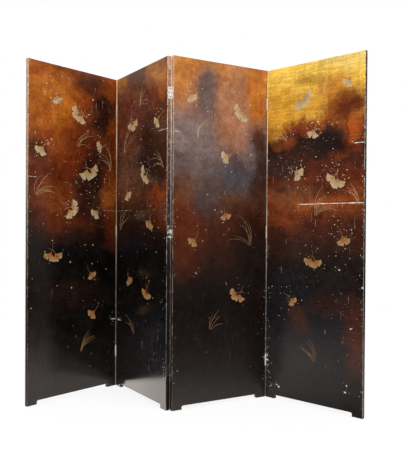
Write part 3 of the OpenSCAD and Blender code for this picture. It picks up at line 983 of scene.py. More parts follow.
FRONT_LACQUER = {leaf: front_lacquer(leaf) for leaf in LEAVES}
BACK_LACQUER = plain_lacquer("back_lacquer", PITCH, DARK_BROWN, WORN_BROWN, 3.0, 0.05)
EDGE_LACQUER = edge_lacquer("edge_lacquer", EDGE_FADE, 0.38, 5.0)
OUTER_EDGES = {
    leaf: edge_lacquer(f"{leaf}_outer_edge", fade, 0.3, 7.0) for leaf, fade in OUTER_EDGE_FADES.items()
}
RAIL_LACQUER = plain_lacquer("rail_lacquer", DARK_BROWN, UMBER, WORN_BROWN, 6.0, 0.15)
WORN_ARRIS = worn_arris()
CHIPPED_GESSO = rubbed_gesso("chipped_gesso", CHIP_WHITE, WORN_BROWN, 0.24, 3.0)
SCRATCHED_LACQUER = rubbed_gesso("scratched_lacquer", SCRATCH_PALE, WORN_BROWN, 0.42, 4.0)
SPLASHED_GOLD = rubbed_gesso("splashed_gold", SPLASH, PALE_GOLD, 0.44, 5.0)
BEADS = {name: worn_bead(name, fade, 8.0 + i) for i, (name, fade) in enumerate(BEAD_FADES.items())}
CREAM_GOLD = {
    leaf: leaf_gold(f"{leaf}_cream_gold", leaf, ORANGE_GOLD, PALE_GOLD, CREAM, 1.0) for leaf in LEAVES
}
AGED_GOLD = {
    leaf: leaf_gold(f"{leaf}_aged_gold", leaf, COPPER, ORANGE_GOLD, PALE_GOLD, 2.0) for leaf in LEAVES
}
FACING_WOOD = core_wood("facing_wood", SPRUCE, SPRUCE_LATE, 1.0)
CORE_WOOD = core_wood("core_wood", SPRUCE, SPRUCE_LATE, 2.0)
HANDLED_BRASS = hinge_brass("handled_brass", HANDLED_FADE, 0.14, 2.0)
FOLDED_BRASS = hinge_brass("folded_brass", FOLDED_FADE, 0.02, 6.0)
SCREW_IRON = screw_iron()


# The facings, with eased, rubbed and chipped arrises

ARRIS_STEP = 0.004
FILL_STEP = 0.03
FILL_CLOSE = 1e-7
FLAT = 0.00004
ON_SIDE = 0.0002
FOOT_TOP = 0.03
# How far an arris is eased in, how much more where it is worn, and how unevenly
EASED = 0.0008
EASED_BY_WEAR = 0.0009
NIBBLED = 0.0003
# Between one chip and the next, half a chip's length, its depth, and the depth that shows the ground
CHIP_GAPS = (0.01, 0.09)
CHIP_HALVES = (0.003, 0.010)
CHIP_DEPTH = 0.0028
GROUND_DEPTH = 0.0012
# An arris's rings between face and edge, as shares of its easing: in from the edge, and deep
ARRIS_PROFILE = ((0.4, 0.35), (0.0, 0.9))
# A board's materials, in the order of its mesh
ON_FACE, ON_ARRIS, ON_EDGE, ON_INNER = range(4)
# How worn each arris is, low down and high up
RUBBED = {
    "leaf_1": {"left": (0.1, 1.0), "right": (0.3, 0.6), "top": (0.2, 0.2), "foot": (0.3, 0.3)},
    "leaf_2": {"left": (0.3, 0.6), "right": (0.4, 0.75), "top": (0.2, 0.2), "foot": (0.3, 0.3)},
    "leaf_3": {"left": (0.35, 0.75), "right": (0.15, 0.3), "top": (0.1, 0.1), "foot": (0.3, 0.3)},
    "leaf_4": {"left": (0.5, 0.85), "right": (0.75, 0.55), "top": (0.9, 0.9), "foot": (0.4, 0.4)},
}
BACK_RUBBED = {"left": (0.2, 0.35), "right": (0.2, 0.35), "top": (0.2, 0.2), "foot": (0.3, 0.3)}
# Where a facing meets its neighbour beside the hinge pins
MEETING_SIDES = {
    ("leaf_1", "front"): "right", ("leaf_2", "front"): "left", ("leaf_2", "back"): "right",
    ("leaf_3", "back"): "left", ("leaf_3", "front"): "right", ("leaf_4", "front"): "left",
}


def cad_outline(node, leaf, depth):
    """The outline of a facing's outer face as the CAD has it, as (x, z) in the leaf, counter-clockwise."""
    into_leaf = STANDS[leaf].inverted()
    mesh = frame["nodes"][node].data
    spots = [into_leaf @ vertex.co for vertex in mesh.vertices]
    rim = set()
    for face in mesh.polygons:
        if all(abs(spots[i].y - depth) < FLAT for i in face.vertices):
            corners = [(round(spots[i].x, 5), round(spots[i].z, 5)) for i in face.vertices]
            for here, there in zip(corners, corners[1:] + corners[:1]):
                if (there, here) in rim:
                    rim.remove((there, here))
                else:
                    rim.add((here, there))
    onward = dict(rim)
    outline = [min(onward)]
    while len(outline) < len(onward):
        outline.append(onward[outline[-1]])
    turned = sum(a[0] * b[1] - b[0] * a[1] for a, b in zip(outline, outline[1:] + outline[:1]))
    return outline if turned > 0 else outline[::-1]


def with_steps(outline, step):
    """The outline with points added, so that none are further apart than a step."""
    stepped = []
    for here, there in zip(outline, outline[1:] + outline[:1]):
        count = max(1, math.ceil(math.dist(here, there) / step))
        for k in range(count):
            share = k / count
            stepped.append((here[0] + (there[0] - here[0]) * share, here[1] + (there[1] - here[1]) * share))
    return stepped


def inward(outline):
    """For each point of a counter-clockwise outline, the way in from both its sides at once."""
    ways = []
    for before, here, after in zip(outline[-1:] + outline[:-1], outline, outline[1:] + outline[:1]):
        first = (Vector(here) - Vector(before)).normalized()
        second = (Vector(after) - Vector(here)).normalized()
        normals = (Vector((-first.y, first.x)), Vector((-second.y, second.x)))
        ways.append((normals[0] + normals[1]) / max(0.3, 1 + normals[0].dot(normals[1])))
    return ways


def side_of(x, z):
    """Which side of the leaf a point of its outline is on, or None where hinges or feet are cut."""
    if x < ON_SIDE:
        return "left"
    if x > LEAF_WIDTH - ON_SIDE:
        return "right"
    if z > LEAF_HEIGHT - ON_SIDE:
        return "top"
    return "foot" if z < FOOT_TOP else None


def inside(loop, spots):
    """For each spot, whether it lies inside the loop of (x, z)."""
    here = np.array(loop)
    there = np.roll(here, -1, axis=0)
    x, z = np.array(spots).T[:, :, None]
    crosses = (here[:, 1] > z) != (there[:, 1] > z)
    rise = np.where(here[:, 1] == there[:, 1], 1.0, there[:, 1] - here[:, 1])
    reached = here[:, 0] + (z - here[:, 1]) / rise * (there[:, 0] - here[:, 0])
    return (crosses & (reached > x)).sum(axis=1) % 2 == 1


def fill(loop):
    """Triangles inside a loop of (x, z), with a loose grid of points in its middle."""
    points = [Vector(spot) for spot in loop]
    columns = int(LEAF_WIDTH / FILL_STEP)
    rows = int(LEAF_HEIGHT / FILL_STEP)
    for row in range(2, rows - 1):
        for column in range(1, columns):
            points.append(Vector((LEAF_WIDTH * column / columns, LEAF_HEIGHT * row / rows)))
    ring = list(range(len(loop)))
    filled = geometry.delaunay_2d_cdt(points, [], [ring], 1, FILL_CLOSE, True)
    spots, _, triangles, from_points = filled[:4]
    centres = [tuple(sum((spots[i] for i in triangle), Vector((0, 0))) / 3) for triangle in triangles]
    triangles = [triangle for triangle, kept in zip(triangles, inside(loop, centres)) if kept]
    place_of = {old: new for new, olds in enumerate(from_points) for old in olds}
    return spots, triangles, [place_of[i] for i in ring]


def new_piece(name, leaf, points, faces, materials, face_slots=None, marks=None):
    """A mesh piece built in a leaf's own frame, standing and moving with that leaf."""
    mesh = bpy.data.meshes.new(name)
    mesh.from_pydata(points, [], faces)
    for material in materials:
        mesh.materials.append(material)
    if face_slots:
        mesh.polygons.foreach_set("material_index", face_slots)
    for mark, values in (marks or {}).items():
        mesh.attributes.new(mark, "FLOAT", "POINT").data.foreach_set("value", values)
    shape = bmesh.new()
    shape.from_mesh(mesh)
    bmesh.ops.recalc_face_normals(shape, faces=shape.faces)
    shape.to_mesh(mesh)
    shape.free()
    piece = bpy.data.objects.new(name, mesh)
    bpy.context.scene.collection.objects.link(piece)
    piece.matrix_world = STANDS[leaf]
    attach(piece, leaf)
    return piece


def arris_bites(outline, rubbed, dice):
    """How far the arris is eased in at each point, and where it is rubbed down to the pale ground."""
    run = [0.0]
    for here, there in zip(outline, outline[1:]):
        run.append(run[-1] + math.dist(here, there))
    chips = []
    along = 0.0
    while along < run[-1]:
        along += dice.uniform(*CHIP_GAPS)
        chips.append((along, dice.uniform(*CHIP_HALVES), dice.uniform(0.3, 1.0) ** 2))
    shift = dice.uniform(0, 50)
    eases, worn = [], []
    for (x, z), at in zip(outline, run):
        side = side_of(x, z)
        low, high = rubbed.get(side, (0.0, 0.0))
        wear = low + (high - low) * z / LEAF_HEIGHT
        sway = noise.noise(Vector((at * 18, shift, 0))) + 0.5 * noise.noise(Vector((at * 55, shift, 4)))
        nibble = NIBBLED * noise.noise(Vector((at * 260, shift, 9)))
        ease = EASED + EASED_BY_WEAR * wear * max(0.0, 0.6 + sway) + nibble
        bite = 0.0
        for centre, half, depth in chips:
            if abs(at - centre) < half and side:
                bite = max(bite, depth * wear * CHIP_DEPTH * (1 - ((at - centre) / half) ** 2))
        eases.append(ease + bite)
        rubbed_through = 0.5 + 0.9 * (wear - 0.5 - 0.6 * sway)
        worn.append(max(rubbed_through, bite / GROUND_DEPTH) if side else 0.0)
    return eases, worn


def lacquered_board(leaf, side, lacquer, rubbed):
    """One facing of a leaf: its lacquered face, its arris, its edge and its bare inner face."""
    front = side == "front"
    outer = 0.0 if front else LEAF_THICKNESS
    deeper = 1 if front else -1
    node = f"{leaf}_{side}_facing"
    outline = with_steps(cad_outline(node, leaf, outer), ARRIS_STEP)
    dice = random.Random(f"{leaf} {side} arris")
    eases, worn = arris_bites(outline, rubbed, dice)
    ways = inward(outline)
    points, faces, slots = [], [], []

    def ring(inset, depth):
        """Lays one ring of points, as shares of the easing at each."""
        start = len(points)
        for (x, z), way, ease in zip(outline, ways, eases):
            y = outer + deeper * min(ease * depth, FACING * 0.8)
            points.append((x + way.x * ease * inset, y, z + way.y * ease * inset))
        return list(range(start, start + len(outline)))

    face_loop = [(x + way.x * ease, z + way.y * ease) for (x, z), way, ease in zip(outline, ways, eases)]
    spots, triangles, rim = fill(face_loop)
    points += [(spot.x, outer, spot.y) for spot in spots]
    faces += [tuple(triangle) for triangle in triangles]
    slots += [ON_FACE] * len(triangles)
    rings = [rim] + [ring(inset, depth) for inset, depth in ARRIS_PROFILE]
    inner, inner_triangles, inner_rim = fill(outline)
    first_inner = len(points)
    points += [(spot.x, outer + deeper * FACING, spot.y) for spot in inner]
    faces += [tuple(first_inner + i for i in triangle) for triangle in inner_triangles]
    slots += [ON_INNER] * len(inner_triangles)
    rings.append([first_inner + i for i in inner_rim])
    for level, (upper, lower) in enumerate(zip(rings, rings[1:])):
        for i in range(len(outline)):
            j = (i + 1) % len(outline)
            faces.append((upper[i], upper[j], lower[j], lower[i]))
            slots.append(ON_EDGE if level == len(ARRIS_PROFILE) else ON_ARRIS)
    along_rim = [0.0] * len(points)
    for loop in rings:
        for i, share in zip(loop, worn):
            along_rim[i] = share
    materials = (lacquer, WORN_ARRIS, OUTER_EDGES.get(leaf, EDGE_LACQUER), FACING_WOOD)
    name = f"{leaf}_lacquered_{side}"
    board = new_piece(name, leaf, points, faces, materials, slots, {"worn": along_rim})
    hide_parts(node)


# Beads along the arrises that meet, which close the gap beside the pins and stay clear of the hinges

BEAD_STEP = 0.012
BEAD_CLEAR = 0.001
BEAD_FOOT = 0.003
BEAD_TOP = LEAF_HEIGHT - 0.0006
BEAD_WEAR = 0.08
# The corners of a bead that are further out than this wear back
BEAD_KEPT = 0.0005
# (past the arris, proud of the face) of each corner of a bead's cross-section
BEAD_SECTION = (
    (-0.0026, -0.0001), (-0.0016, 0.0003), (-0.0006, 0.00075), (0.0004, 0.00097), (0.00097, 0.00097),
    (0.00097, -0.0016), (0.0002, -0.0026), (-0.0012, -0.0026),
)


def bead_runs(fold):
    """The heights between which the beads of one fold run: past the floor, its hinges and the top."""
    stops = [BEAD_FOOT]
    for level in ("lower", "middle", "upper"):
        low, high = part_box(f"fold_{fold}_{level}_pin")
        stops += [low[2] - BEAD_CLEAR, high[2] + BEAD_CLEAR]
    stops.append(BEAD_TOP)
    return list(zip(stops[::2], stops[1::2]))


def meeting_bead(leaf, side, meets):
    """A rubbed bead along one meeting arris, in lengths between the hinges."""
    fold = int(leaf[-1]) - (1 if meets == "left" else 0)
    out = -1 if meets == "left" else 1
    arris = 0.0 if meets == "left" else LEAF_WIDTH
    face, rise = (0.0, -1) if side == "front" else (LEAF_THICKNESS, 1)
    points, faces = [], []
    count = len(BEAD_SECTION)
    for low, high in bead_runs(fold):
        levels = max(2, math.ceil((high - low) / BEAD_STEP))
        start = len(points)
        for k in range(levels + 1):
            z = low + (high - low) * k / levels
            worn = 1 - BEAD_WEAR * (0.5 + noise.noise(Vector((z * 40, fold * 7.0, 3.0 * out))))
            for past, proud in BEAD_SECTION:
                reach = out * past * (worn if past > BEAD_KEPT else 1)
                points.append((arris + reach, face + rise * proud * worn, z))
        for k in range(levels):
            for i in range(count):
                j = (i + 1) % count
                here = start + k * count
                faces.append((here + i, here + j, here + count + j, here + count + i))
        faces.append(tuple(range(start, start + count)))
        faces.append(tuple(range(start + levels * count, start + (levels + 1) * count)))
    right_valley = "right_valley_dark_bead" if leaf == "leaf_3" else "right_valley_pale_bead"
    material = BEADS[("left_valley_bead", "ridge_bead", right_valley)[fold - 1]]
    new_piece(f"{leaf}_{side}_meeting_bead", leaf, points, faces, (material,))


# Drifting ginkgo leaves, grasses and gold dust, raised a little from the lacquer

# Heights from the lacquer, in metres: sunk in it, at a rim, and at the highest
SINK = 0.00006
THIN = 0.00008
FAN_RISE = 0.00016
RIB_RISE = 0.00012
STALK_RISE = 0.00022
GRASS_RISE = 0.00018
GRAIN_RISE = 0.0001
CHIP_RISE = 0.0001
CRACK_RISE = 0.00011


class Relief:
    """Gathers small raised shapes of one leaf's front into one closed mesh."""

    def __init__(self):
        self.points = []
        self.faces = []
        self.marks = {"reach": [], "rib": []}

    def spot(self, x, z, height, reach, rib):
        """Adds one point with its marks, and gives its number."""
        self.points.append((x, -height, z))
        self.marks["reach"].append(reach)
        self.marks["rib"].append(rib)
        return len(self.points) - 1

    def sheet(self, rows):
        """Rows of (x, z, height, reach, rib), closed by an underside sunk in the lacquer."""
        top = [[self.spot(*entry) for entry in row] for row in rows]
        under = [[self.spot(x, z, -SINK, reach, rib) for x, z, _, reach, rib in row] for row in rows]
        last_row = len(rows) - 1
        last = len(rows[0]) - 1
        for i in range(last_row):
            for j in range(last):
                for lay in (top, under):
                    self.faces.append((lay[i][j], lay[i + 1][j], lay[i + 1][j + 1], lay[i][j + 1]))
            for j in (0, last):
                self.faces.append((top[i][j], top[i + 1][j], under[i + 1][j], under[i][j]))
        for i in (0, last_row):
            for j in range(last):
                self.faces.append((top[i][j], top[i][j + 1], under[i][j + 1], under[i][j]))

    def patch(self, outline, height, rib=0.5):
        """One flat patch with a ragged outline of (x, z)."""
        top = [self.spot(x, z, height, 0.7, rib) for x, z in outline]
        under = [self.spot(x, z, -SINK, 0.7, rib) for x, z in outline]
        self.faces.append(tuple(top))
        self.faces.append(tuple(under))
        for i in range(len(top)):
            j = (i + 1) % len(top)
            self.faces.append((top[i], top[j], under[j], under[i]))

    def thread(self, line, widths, height, reach):
        """A thin raised line along points (x, z), as wide at each as its width says."""
        rows = []
        for k, (x, z) in enumerate(line):
            before = line[max(0, k - 1)]
            after = line[min(len(line) - 1, k + 1)]
            way = Vector((after[0] - before[0], after[1] - before[1])).normalized()
            half = widths[k] / 2
            rows.append([
                (x - way.y * half, z + way.x * half, THIN, reach, 0.4),
                (x, z, height, reach, 0.9),
                (x + way.y * half, z - way.x * half, THIN, reach, 0.4),
            ])
        self.sheet(rows)

    def piece(self, name, leaf, material):
        """Makes the gathered shapes one piece of a leaf's front."""
        new_piece(name, leaf, self.points, self.faces, (material,), marks=self.marks)


BLADE_SPREAD = math.radians(58)
BLADE_RIBS = 11
BLADE_ROWS = 8
BLADE_COLUMNS = 32
FANS_APART = math.radians(62)
STALK_STEPS = 10
STALK_WIDTH = 0.0017
GRASS_STEPS = 14
GRASS_WIDTH = 0.0011
GRASS_TIP = 0.0002


def ginkgo_blade(relief, x, z, size, turn, dice):
    """A fan-shaped leaf with a notch, ribbed from its stalk."""
    spread = BLADE_SPREAD * dice.uniform(0.85, 1.1)
    notch = dice.uniform(0.18, 0.42)
    lobes = dice.uniform(0, 6)
    rows = []
    for i in range(BLADE_ROWS + 1):
        share = 0.04 + 0.96 * i / BLADE_ROWS
        row = []
        for j in range(BLADE_COLUMNS + 1):
            side = 2 * j / BLADE_COLUMNS - 1
            open_share = 0.30 + 0.70 * share ** 0.7
            angle = turn + side * spread * open_share
            rim = 1 - notch * math.exp(-((side / 0.09) ** 2)) * share ** 3
            rim *= 1 + 0.03 * math.sin(side * 11 + lobes) * share - 0.14 * abs(side) ** 3
            far = size * share * rim
            rib = 0.5 + 0.5 * math.cos(side * math.pi * BLADE_RIBS)
            crown = (1 - share ** 6) * (1 - abs(side) ** 6)
            height = THIN + crown * (FAN_RISE + RIB_RISE * rib)
            row.append((x + math.sin(angle) * far, z + math.cos(angle) * far, height, share, rib))
        rows.append(row)
    relief.sheet(rows)


def stalk(relief, x, z, length, heading, bend):
    """A curved stalk, thinner to its tip."""
    line, widths = [], []
    for k in range(STALK_STEPS + 1):
        line.append((x, z))
        widths.append(STALK_WIDTH * (1 - 0.6 * k / STALK_STEPS))
        x += math.sin(heading) * length / STALK_STEPS
        z += math.cos(heading) * length / STALK_STEPS
        heading += bend / STALK_STEPS
    relief.thread(line, widths, STALK_RISE, 0.5)


def ginkgo_sprig(relief, x, z, size, turn, count, dice):
    """One or two fans that overlap, with their stalks trailing off together."""
    sway = dice.choice((-1, 1))
    for k in range(count):
        fan = size * dice.uniform(0.85, 1.1) * (1 - 0.12 * k)
        opened = turn + sway * FANS_APART * k + dice.uniform(-0.15, 0.15)
        shift = Vector((math.cos(turn), -math.sin(turn))) * 0.3 * size * k * sway
        spot = (x + shift.x, z + shift.y)
        ginkgo_blade(relief, *spot, fan, opened, dice)
        length = fan * dice.uniform(0.7, 1.2)
        stalk(relief, *spot, length, opened + math.pi, sway * dice.uniform(0.4, 1.2))


def grass_spray(relief, x, z, height, lean, count, dice):
    """Thin blades of grass that rise from one root and bow to one side."""
    for _ in range(count):
        tall = height * dice.uniform(0.55, 1.0)
        heading = math.radians(lean) * dice.uniform(-0.3, 0.9)
        bow = math.radians(lean) * dice.uniform(0.6, 1.6)
        px = x + dice.uniform(-0.008, 0.008)
        pz = z + dice.uniform(-0.004, 0.004)
        line, widths = [], []
        for k in range(GRASS_STEPS + 1):
            line.append((px, pz))
            widths.append(GRASS_WIDTH * math.sin(math.pi * (0.12 + 0.85 * k / GRASS_STEPS)) + GRASS_TIP)
            px += math.sin(heading) * tall / GRASS_STEPS
            pz += math.cos(heading) * tall / GRASS_STEPS
            heading += bow / GRASS_STEPS
        relief.thread(line, widths, GRASS_RISE, 0.75)


def dust_grain(relief, x, z, size, dice):
    """One ragged grain of gold."""
    outline = []
    start = dice.uniform(0, 1)
    for k in range(6):
        angle = (k + start) * math.pi / 3
        far = size * dice.uniform(0.35, 0.65)
        outline.append((x + math.cos(angle) * far, z + math.sin(angle) * far))
    relief.patch(outline, GRAIN_RISE, dice.uniform(0.2, 1.0))


# Our own layout: (x, z, size, turn, fans) of each sprig in a slow fall across the four fronts
CREAM_SPRIGS = {
    "leaf_1": (
        (0.16, 1.64, 0.056, 150, 1), (0.33, 1.56, 0.060, 205, 2), (0.47, 1.40, 0.054, 250, 1),
        (0.36, 1.26, 0.060, 175, 2), (0.09, 1.36, 0.052, 205, 1), (0.24, 1.03, 0.058, 140, 2),
        (0.44, 1.03, 0.060, 220, 1),
    ),
    "leaf_2": (
        (0.18, 1.53, 0.060, 200, 2), (0.48, 1.50, 0.058, 235, 1), (0.13, 1.14, 0.054, 160, 1),
        (0.36, 1.22, 0.060, 215, 2),
    ),
    "leaf_3": ((0.42, 1.56, 0.056, 205, 2), (0.09, 1.62, 0.052, 140, 1), (0.33, 1.32, 0.050, 240, 1)),
    "leaf_4": (
        (0.20, 1.62, 0.060, 165, 2), (0.49, 1.68, 0.054, 225, 1), (0.29, 1.45, 0.060, 200, 1),
        (0.17, 1.24, 0.056, 130, 1), (0.41, 1.20, 0.060, 230, 2),
    ),
}
OLD_SPRIGS = {
    "leaf_1": ((0.14, 0.80, 0.058, 200, 2), (0.38, 0.68, 0.054, 150, 1), (0.42, 0.46, 0.050, 225, 1)),
    "leaf_2": ((0.40, 0.98, 0.058, 200, 1), (0.15, 0.66, 0.052, 150, 1), (0.36, 0.60, 0.054, 220, 2)),
    "leaf_3": ((0.30, 1.02, 0.056, 160, 1), (0.13, 0.88, 0.052, 215, 1), (0.40, 0.58, 0.056, 195, 2)),
    "leaf_4": ((0.45, 0.90, 0.056, 165, 1), (0.28, 0.78, 0.058, 210, 2), (0.15, 0.56, 0.052, 140, 1)),
}
# (x, z, height, lean, blades) of each spray of grass
GRASSES = {
    "leaf_1": (
        (0.33, 0.24, 0.15, 55, 6), (0.05, 1.10, 0.16, 60, 7),
        (0.52, 1.26, 0.17, -60, 7), (0.30, 1.38, 0.13, 65, 5),
    ),
    "leaf_2": (
        (0.22, 0.34, 0.14, -50, 5), (0.28, 1.60, 0.17, 65, 6), (0.05, 0.92, 0.16, 55, 6),
        (0.53, 1.24, 0.15, -60, 5), (0.10, 1.36, 0.22, 60, 7),
    ),
    "leaf_3": ((0.46, 0.84, 0.18, -55, 7), (0.22, 0.40, 0.14, 50, 5), (0.14, 1.40, 0.14, 60, 5)),
    "leaf_4": (
        (0.30, 1.00, 0.18, 60, 7), (0.12, 1.40, 0.13, -60, 5), (0.30, 0.24, 0.14, -50, 5),
        (0.53, 1.06, 0.13, -60, 6), (0.34, 1.62, 0.12, 60, 5),
    ),
}
DUST = {"leaf_1": 420, "leaf_2": 320, "leaf_3": 180, "leaf_4": 640}
DUST_SPREADS = (0.03, 0.05, 0.12)
# The least size of a grain, and how much may be added to it
GRAIN_SIZES = (0.0014, 0.0046)
# Grasses that root above this height are cream, and most of the dust lies above it
CREAM_FROM = 0.9


def kept_within(value, low, high):
    """The value, or the end of its range that it has passed."""
    return min(max(value, low), high)


def lay_sprigs(leaf, kind, layout, finish):
    """One front's sprigs of one kind of gold."""
    relief = Relief()
    dice = random.Random(f"{leaf} {kind} sprigs")
    for x, z, size, turn, count in layout:
        ginkgo_sprig(relief, x, z, size, math.radians(turn), count, dice)
    relief.piece(f"{leaf}_{kind}_ginkgo_sprigs", leaf, finish)


def lay_grasses(leaf):
    """One front's grasses, cream above and old gold below."""
    low_grasses, high_grasses = Relief(), Relief()
    dice = random.Random(f"{leaf} grasses")
    for x, z, height, lean, count in GRASSES[leaf]:
        grasses = high_grasses if z > CREAM_FROM else low_grasses
        grass_spray(grasses, x, z, height, lean, count, dice)
    high_grasses.piece(f"{leaf}_upper_grasses", leaf, CREAM_GOLD[leaf])
    if low_grasses.points:
        low_grasses.piece(f"{leaf}_lower_grasses", leaf, AGED_GOLD[leaf])


def strew_dust(leaf):
    """One front's dust of gold, fallen about its sprigs, and none on a calm top."""
    dust = Relief()
    dice = random.Random(f"{leaf} gold dust")
    fallen = CREAM_SPRIGS[leaf] + OLD_SPRIGS[leaf]
    smallest, spare = GRAIN_SIZES
    bare_from = FRONTS[leaf]["calm"][1] if "calm" in FRONTS[leaf] else LEAF_HEIGHT
    for _ in range(DUST[leaf]):
        x, z = dice.choice(fallen)[:2]
        if z < CREAM_FROM and dice.random() < 0.6:
            x, z = dice.choice(CREAM_SPRIGS[leaf])[:2]
        strewn = dice.choice(DUST_SPREADS)
        x = kept_within(x + dice.gauss(0, strewn), 0.01, LEAF_WIDTH - 0.01)
        z = kept_within(z + dice.gauss(0, strewn * 1.3), 0.05, LEAF_HEIGHT - 0.01)
        grain = smallest + spare * dice.random() ** 3
        if z < bare_from:
            dust_grain(dust, x, z, grain, dice)
    dust.piece(f"{leaf}_gold_dust", leaf, SPLASHED_GOLD)


# Wear, at the pixels where the photograph shows it

# (across, down, size) of each chip, in the photograph's pixels
CHIPS_SEEN = {
    "leaf_1": ((93, 100, 5), (114, 319, 4), (70, 262, 3)),
    "leaf_2": ((118.5, 319, 4), (162, 300, 3)),
    "leaf_3": ((234, 92, 4), (251, 155, 4), (196, 273, 4), (229, 229, 3), (264.0, 357, 5)),
    "leaf_4": (
        (267.2, 355, 7), (267.2, 359.5, 7), (267.6, 365, 4), (268.4, 371, 3), (281, 158, 3),
        (323, 112, 3), (351, 329, 7), (363, 288, 7), (270.8, 385.3, 6), (276.8, 384.6, 6),
        (278.6, 386.6, 7), (345, 392.6, 8), (346.6, 386, 5), (339, 270, 5),
    ),
}
# (x, low, high, chips) of each run of small chips up a leaf
CHIPPED_RUNS = {
    "leaf_1": ((0.012, 0.30, 1.70, 12), (0.550, 0.36, 0.44, 8)),
    "leaf_2": (
        (0.552, 0.14, 0.27, 34), (0.554, 0.30, 1.10, 22), (0.559, 0.86, 1.10, 14),
        (0.012, 0.36, 0.44, 6),
    ),
    "leaf_3": (
        (0.008, 0.14, 0.27, 8), (0.008, 0.30, 1.20, 10), (0.006, 0.86, 1.10, 8),
        (0.556, 0.05, 0.90, 14),
    ),
    "leaf_4": (
        (0.007, 0.05, 0.34, 30), (0.006, 0.34, 1.00, 22), (0.558, 0.08, 1.30, 40),
        (0.46, 0.30, 0.62, 16),
    ),
}
# (left, right, down, width) of each crack, in the photograph's pixels, but its width in metres
LEVEL_CRACKS_SEEN = {
    "leaf_1": ((27.5, 37, 176, 0.0030), (111, 116, 319, 0.0036), (102, 116, 210.4, 0.0009)),
    "leaf_2": ((116.5, 121, 319, 0.0036), (158, 167, 131, 0.0024), (117, 132, 211, 0.0009)),
    "leaf_3": ((174, 181, 131, 0.0022),),
    "leaf_4": ((299, 365.5, 204.4, 0.0058), (354, 365.5, 143, 0.0044)),
}
# (x, z, wide, high, scratches, share that run level) of each field of fine scratches
SCRATCHED = {
    "leaf_1": (
        (0.30, 1.12, 0.30, 0.25, 34, 0.6), (0.46, 1.62, 0.12, 0.20, 26, 0.1),
        (0.40, 0.30, 0.25, 0.25, 8, 0.6), (0.50, 1.25, 0.08, 0.30, 20, 0.3),
    ),
    "leaf_2": (
        (0.45, 0.30, 0.14, 0.20, 18, 0.15), (0.28, 1.05, 0.30, 0.15, 26, 0.95),
        (0.40, 1.48, 0.25, 0.20, 40, 0.85), (0.28, 1.70, 0.30, 0.12, 26, 0.7),
    ),
    "leaf_3": (
        (0.20, 1.62, 0.14, 0.20, 20, 0.2), (0.20, 1.12, 0.16, 0.20, 16, 0.1),
        (0.28, 0.35, 0.30, 0.30, 6, 0.5), (0.45, 1.20, 0.12, 0.25, 12, 0.2),
    ),
    "leaf_4": (
        (0.28, 1.12, 0.35, 0.25, 46, 0.15), (0.22, 1.58, 0.30, 0.10, 26, 0.95),
        (0.44, 0.46, 0.14, 0.22, 22, 0.3), (0.28, 0.88, 0.35, 0.15, 26, 0.1),
    ),
}
# Metres on the leaf for each pixel of a chip
CHIP_SCALE = 0.0018
CHIP_CORNERS = 12
CHIP_STRAY = 0.012
# How far chips, crumbs and cracks stay from the leaf's sides
CHIP_CLEAR = 0.006
CRUMB_CLEAR = 0.003
CRACK_CLEAR = 0.002
CRUMBS = 5
CRACK_STEP = 0.006


def ragged(x, z, size, dice):
    """The outline of a flaked spot."""
    stretch = dice.uniform(1.0, 1.5)
    turn = dice.uniform(0, math.pi)
    cosine, sine = math.cos(turn), math.sin(turn)
    outline = []
    for k in range(CHIP_CORNERS):
        angle = 2 * math.pi * k / CHIP_CORNERS
        far = size / 2 * (dice.uniform(0.25, 0.7) if k % 2 else dice.uniform(0.6, 1.5))
        long, short = math.cos(angle) * far * stretch, math.sin(angle) * far / stretch
        outline.append((x + long * cosine - short * sine, z + long * sine + short * cosine))
    return outline


def crack_line(relief, start, end, width, dice):
    """A crack that wanders, opens and closes on its way."""
    count = max(3, int(math.dist(start, end) / CRACK_STEP))
    across = Vector((start[1] - end[1], end[0] - start[0])).normalized()
    line, widths = [], []
    drift = dice.uniform(0, 90)
    for k in range(count + 1):
        share = k / count
        stray = dice.uniform(-0.0005, 0.0005) + 0.0012 * noise.noise(Vector((k * 0.11, drift, 0)))
        opening = 0.55 + 0.75 * noise.noise(Vector((k * 0.23, drift, 5)))
        line.append((
            start[0] + (end[0] - start[0]) * share + across.x * stray,
            start[1] + (end[1] - start[1]) * share + across.y * stray,
        ))
        widths.append(width * max(0.15, opening) * dice.uniform(0.6, 1.3) * (0.3 if k in (0, count) else 1))
    relief.thread(line, widths, CRACK_RISE, 0.7)


def chip(leaf, dice):
    """One front's chips: those seen, with crumbs about them, and its runs of small ones."""
    chips = Relief()
    for across, down, size in CHIPS_SEEN[leaf]:
        x, z = seen_on(leaf, across, down)
        x = kept_within(x, CHIP_CLEAR, LEAF_WIDTH - CHIP_CLEAR)
        chips.patch(ragged(x, z, size * CHIP_SCALE, dice), CHIP_RISE)
        for _ in range(CRUMBS):
            spot = (x + dice.gauss(0, CHIP_STRAY), z + dice.gauss(0, CHIP_STRAY))
            if CRUMB_CLEAR < spot[0] < LEAF_WIDTH - CRUMB_CLEAR:
                chips.patch(ragged(*spot, dice.uniform(0.001, 0.0032), dice), CHIP_RISE)
    for x, low, high, count in CHIPPED_RUNS[leaf]:
        for _ in range(count):
            stray = dice.gauss(0, CHIP_STRAY)
            if x < 0.1:
                stray = abs(stray)
            elif x > 0.5:
                stray = -abs(stray)
            spot = (x + stray, dice.uniform(low, high))
            chips.patch(ragged(*spot, 0.0011 + 0.0038 * dice.random() ** 2, dice), CHIP_RISE)
    chips.piece(f"{leaf}_chips", leaf, CHIPPED_GESSO)


def crack(leaf, dice):
    """One front's level cracks."""
    cracks = Relief()
    for left, right, down, width in LEVEL_CRACKS_SEEN[leaf]:
        start, end = seen_on(leaf, left, down), seen_on(leaf, right, down)
        start = (max(start[0], CRACK_CLEAR), start[1])
        end = (min(end[0], LEAF_WIDTH - CRACK_CLEAR), start[1])
        crack_line(cracks, start, end, width, dice)
    cracks.piece(f"{leaf}_cracks", leaf, CHIPPED_GESSO)


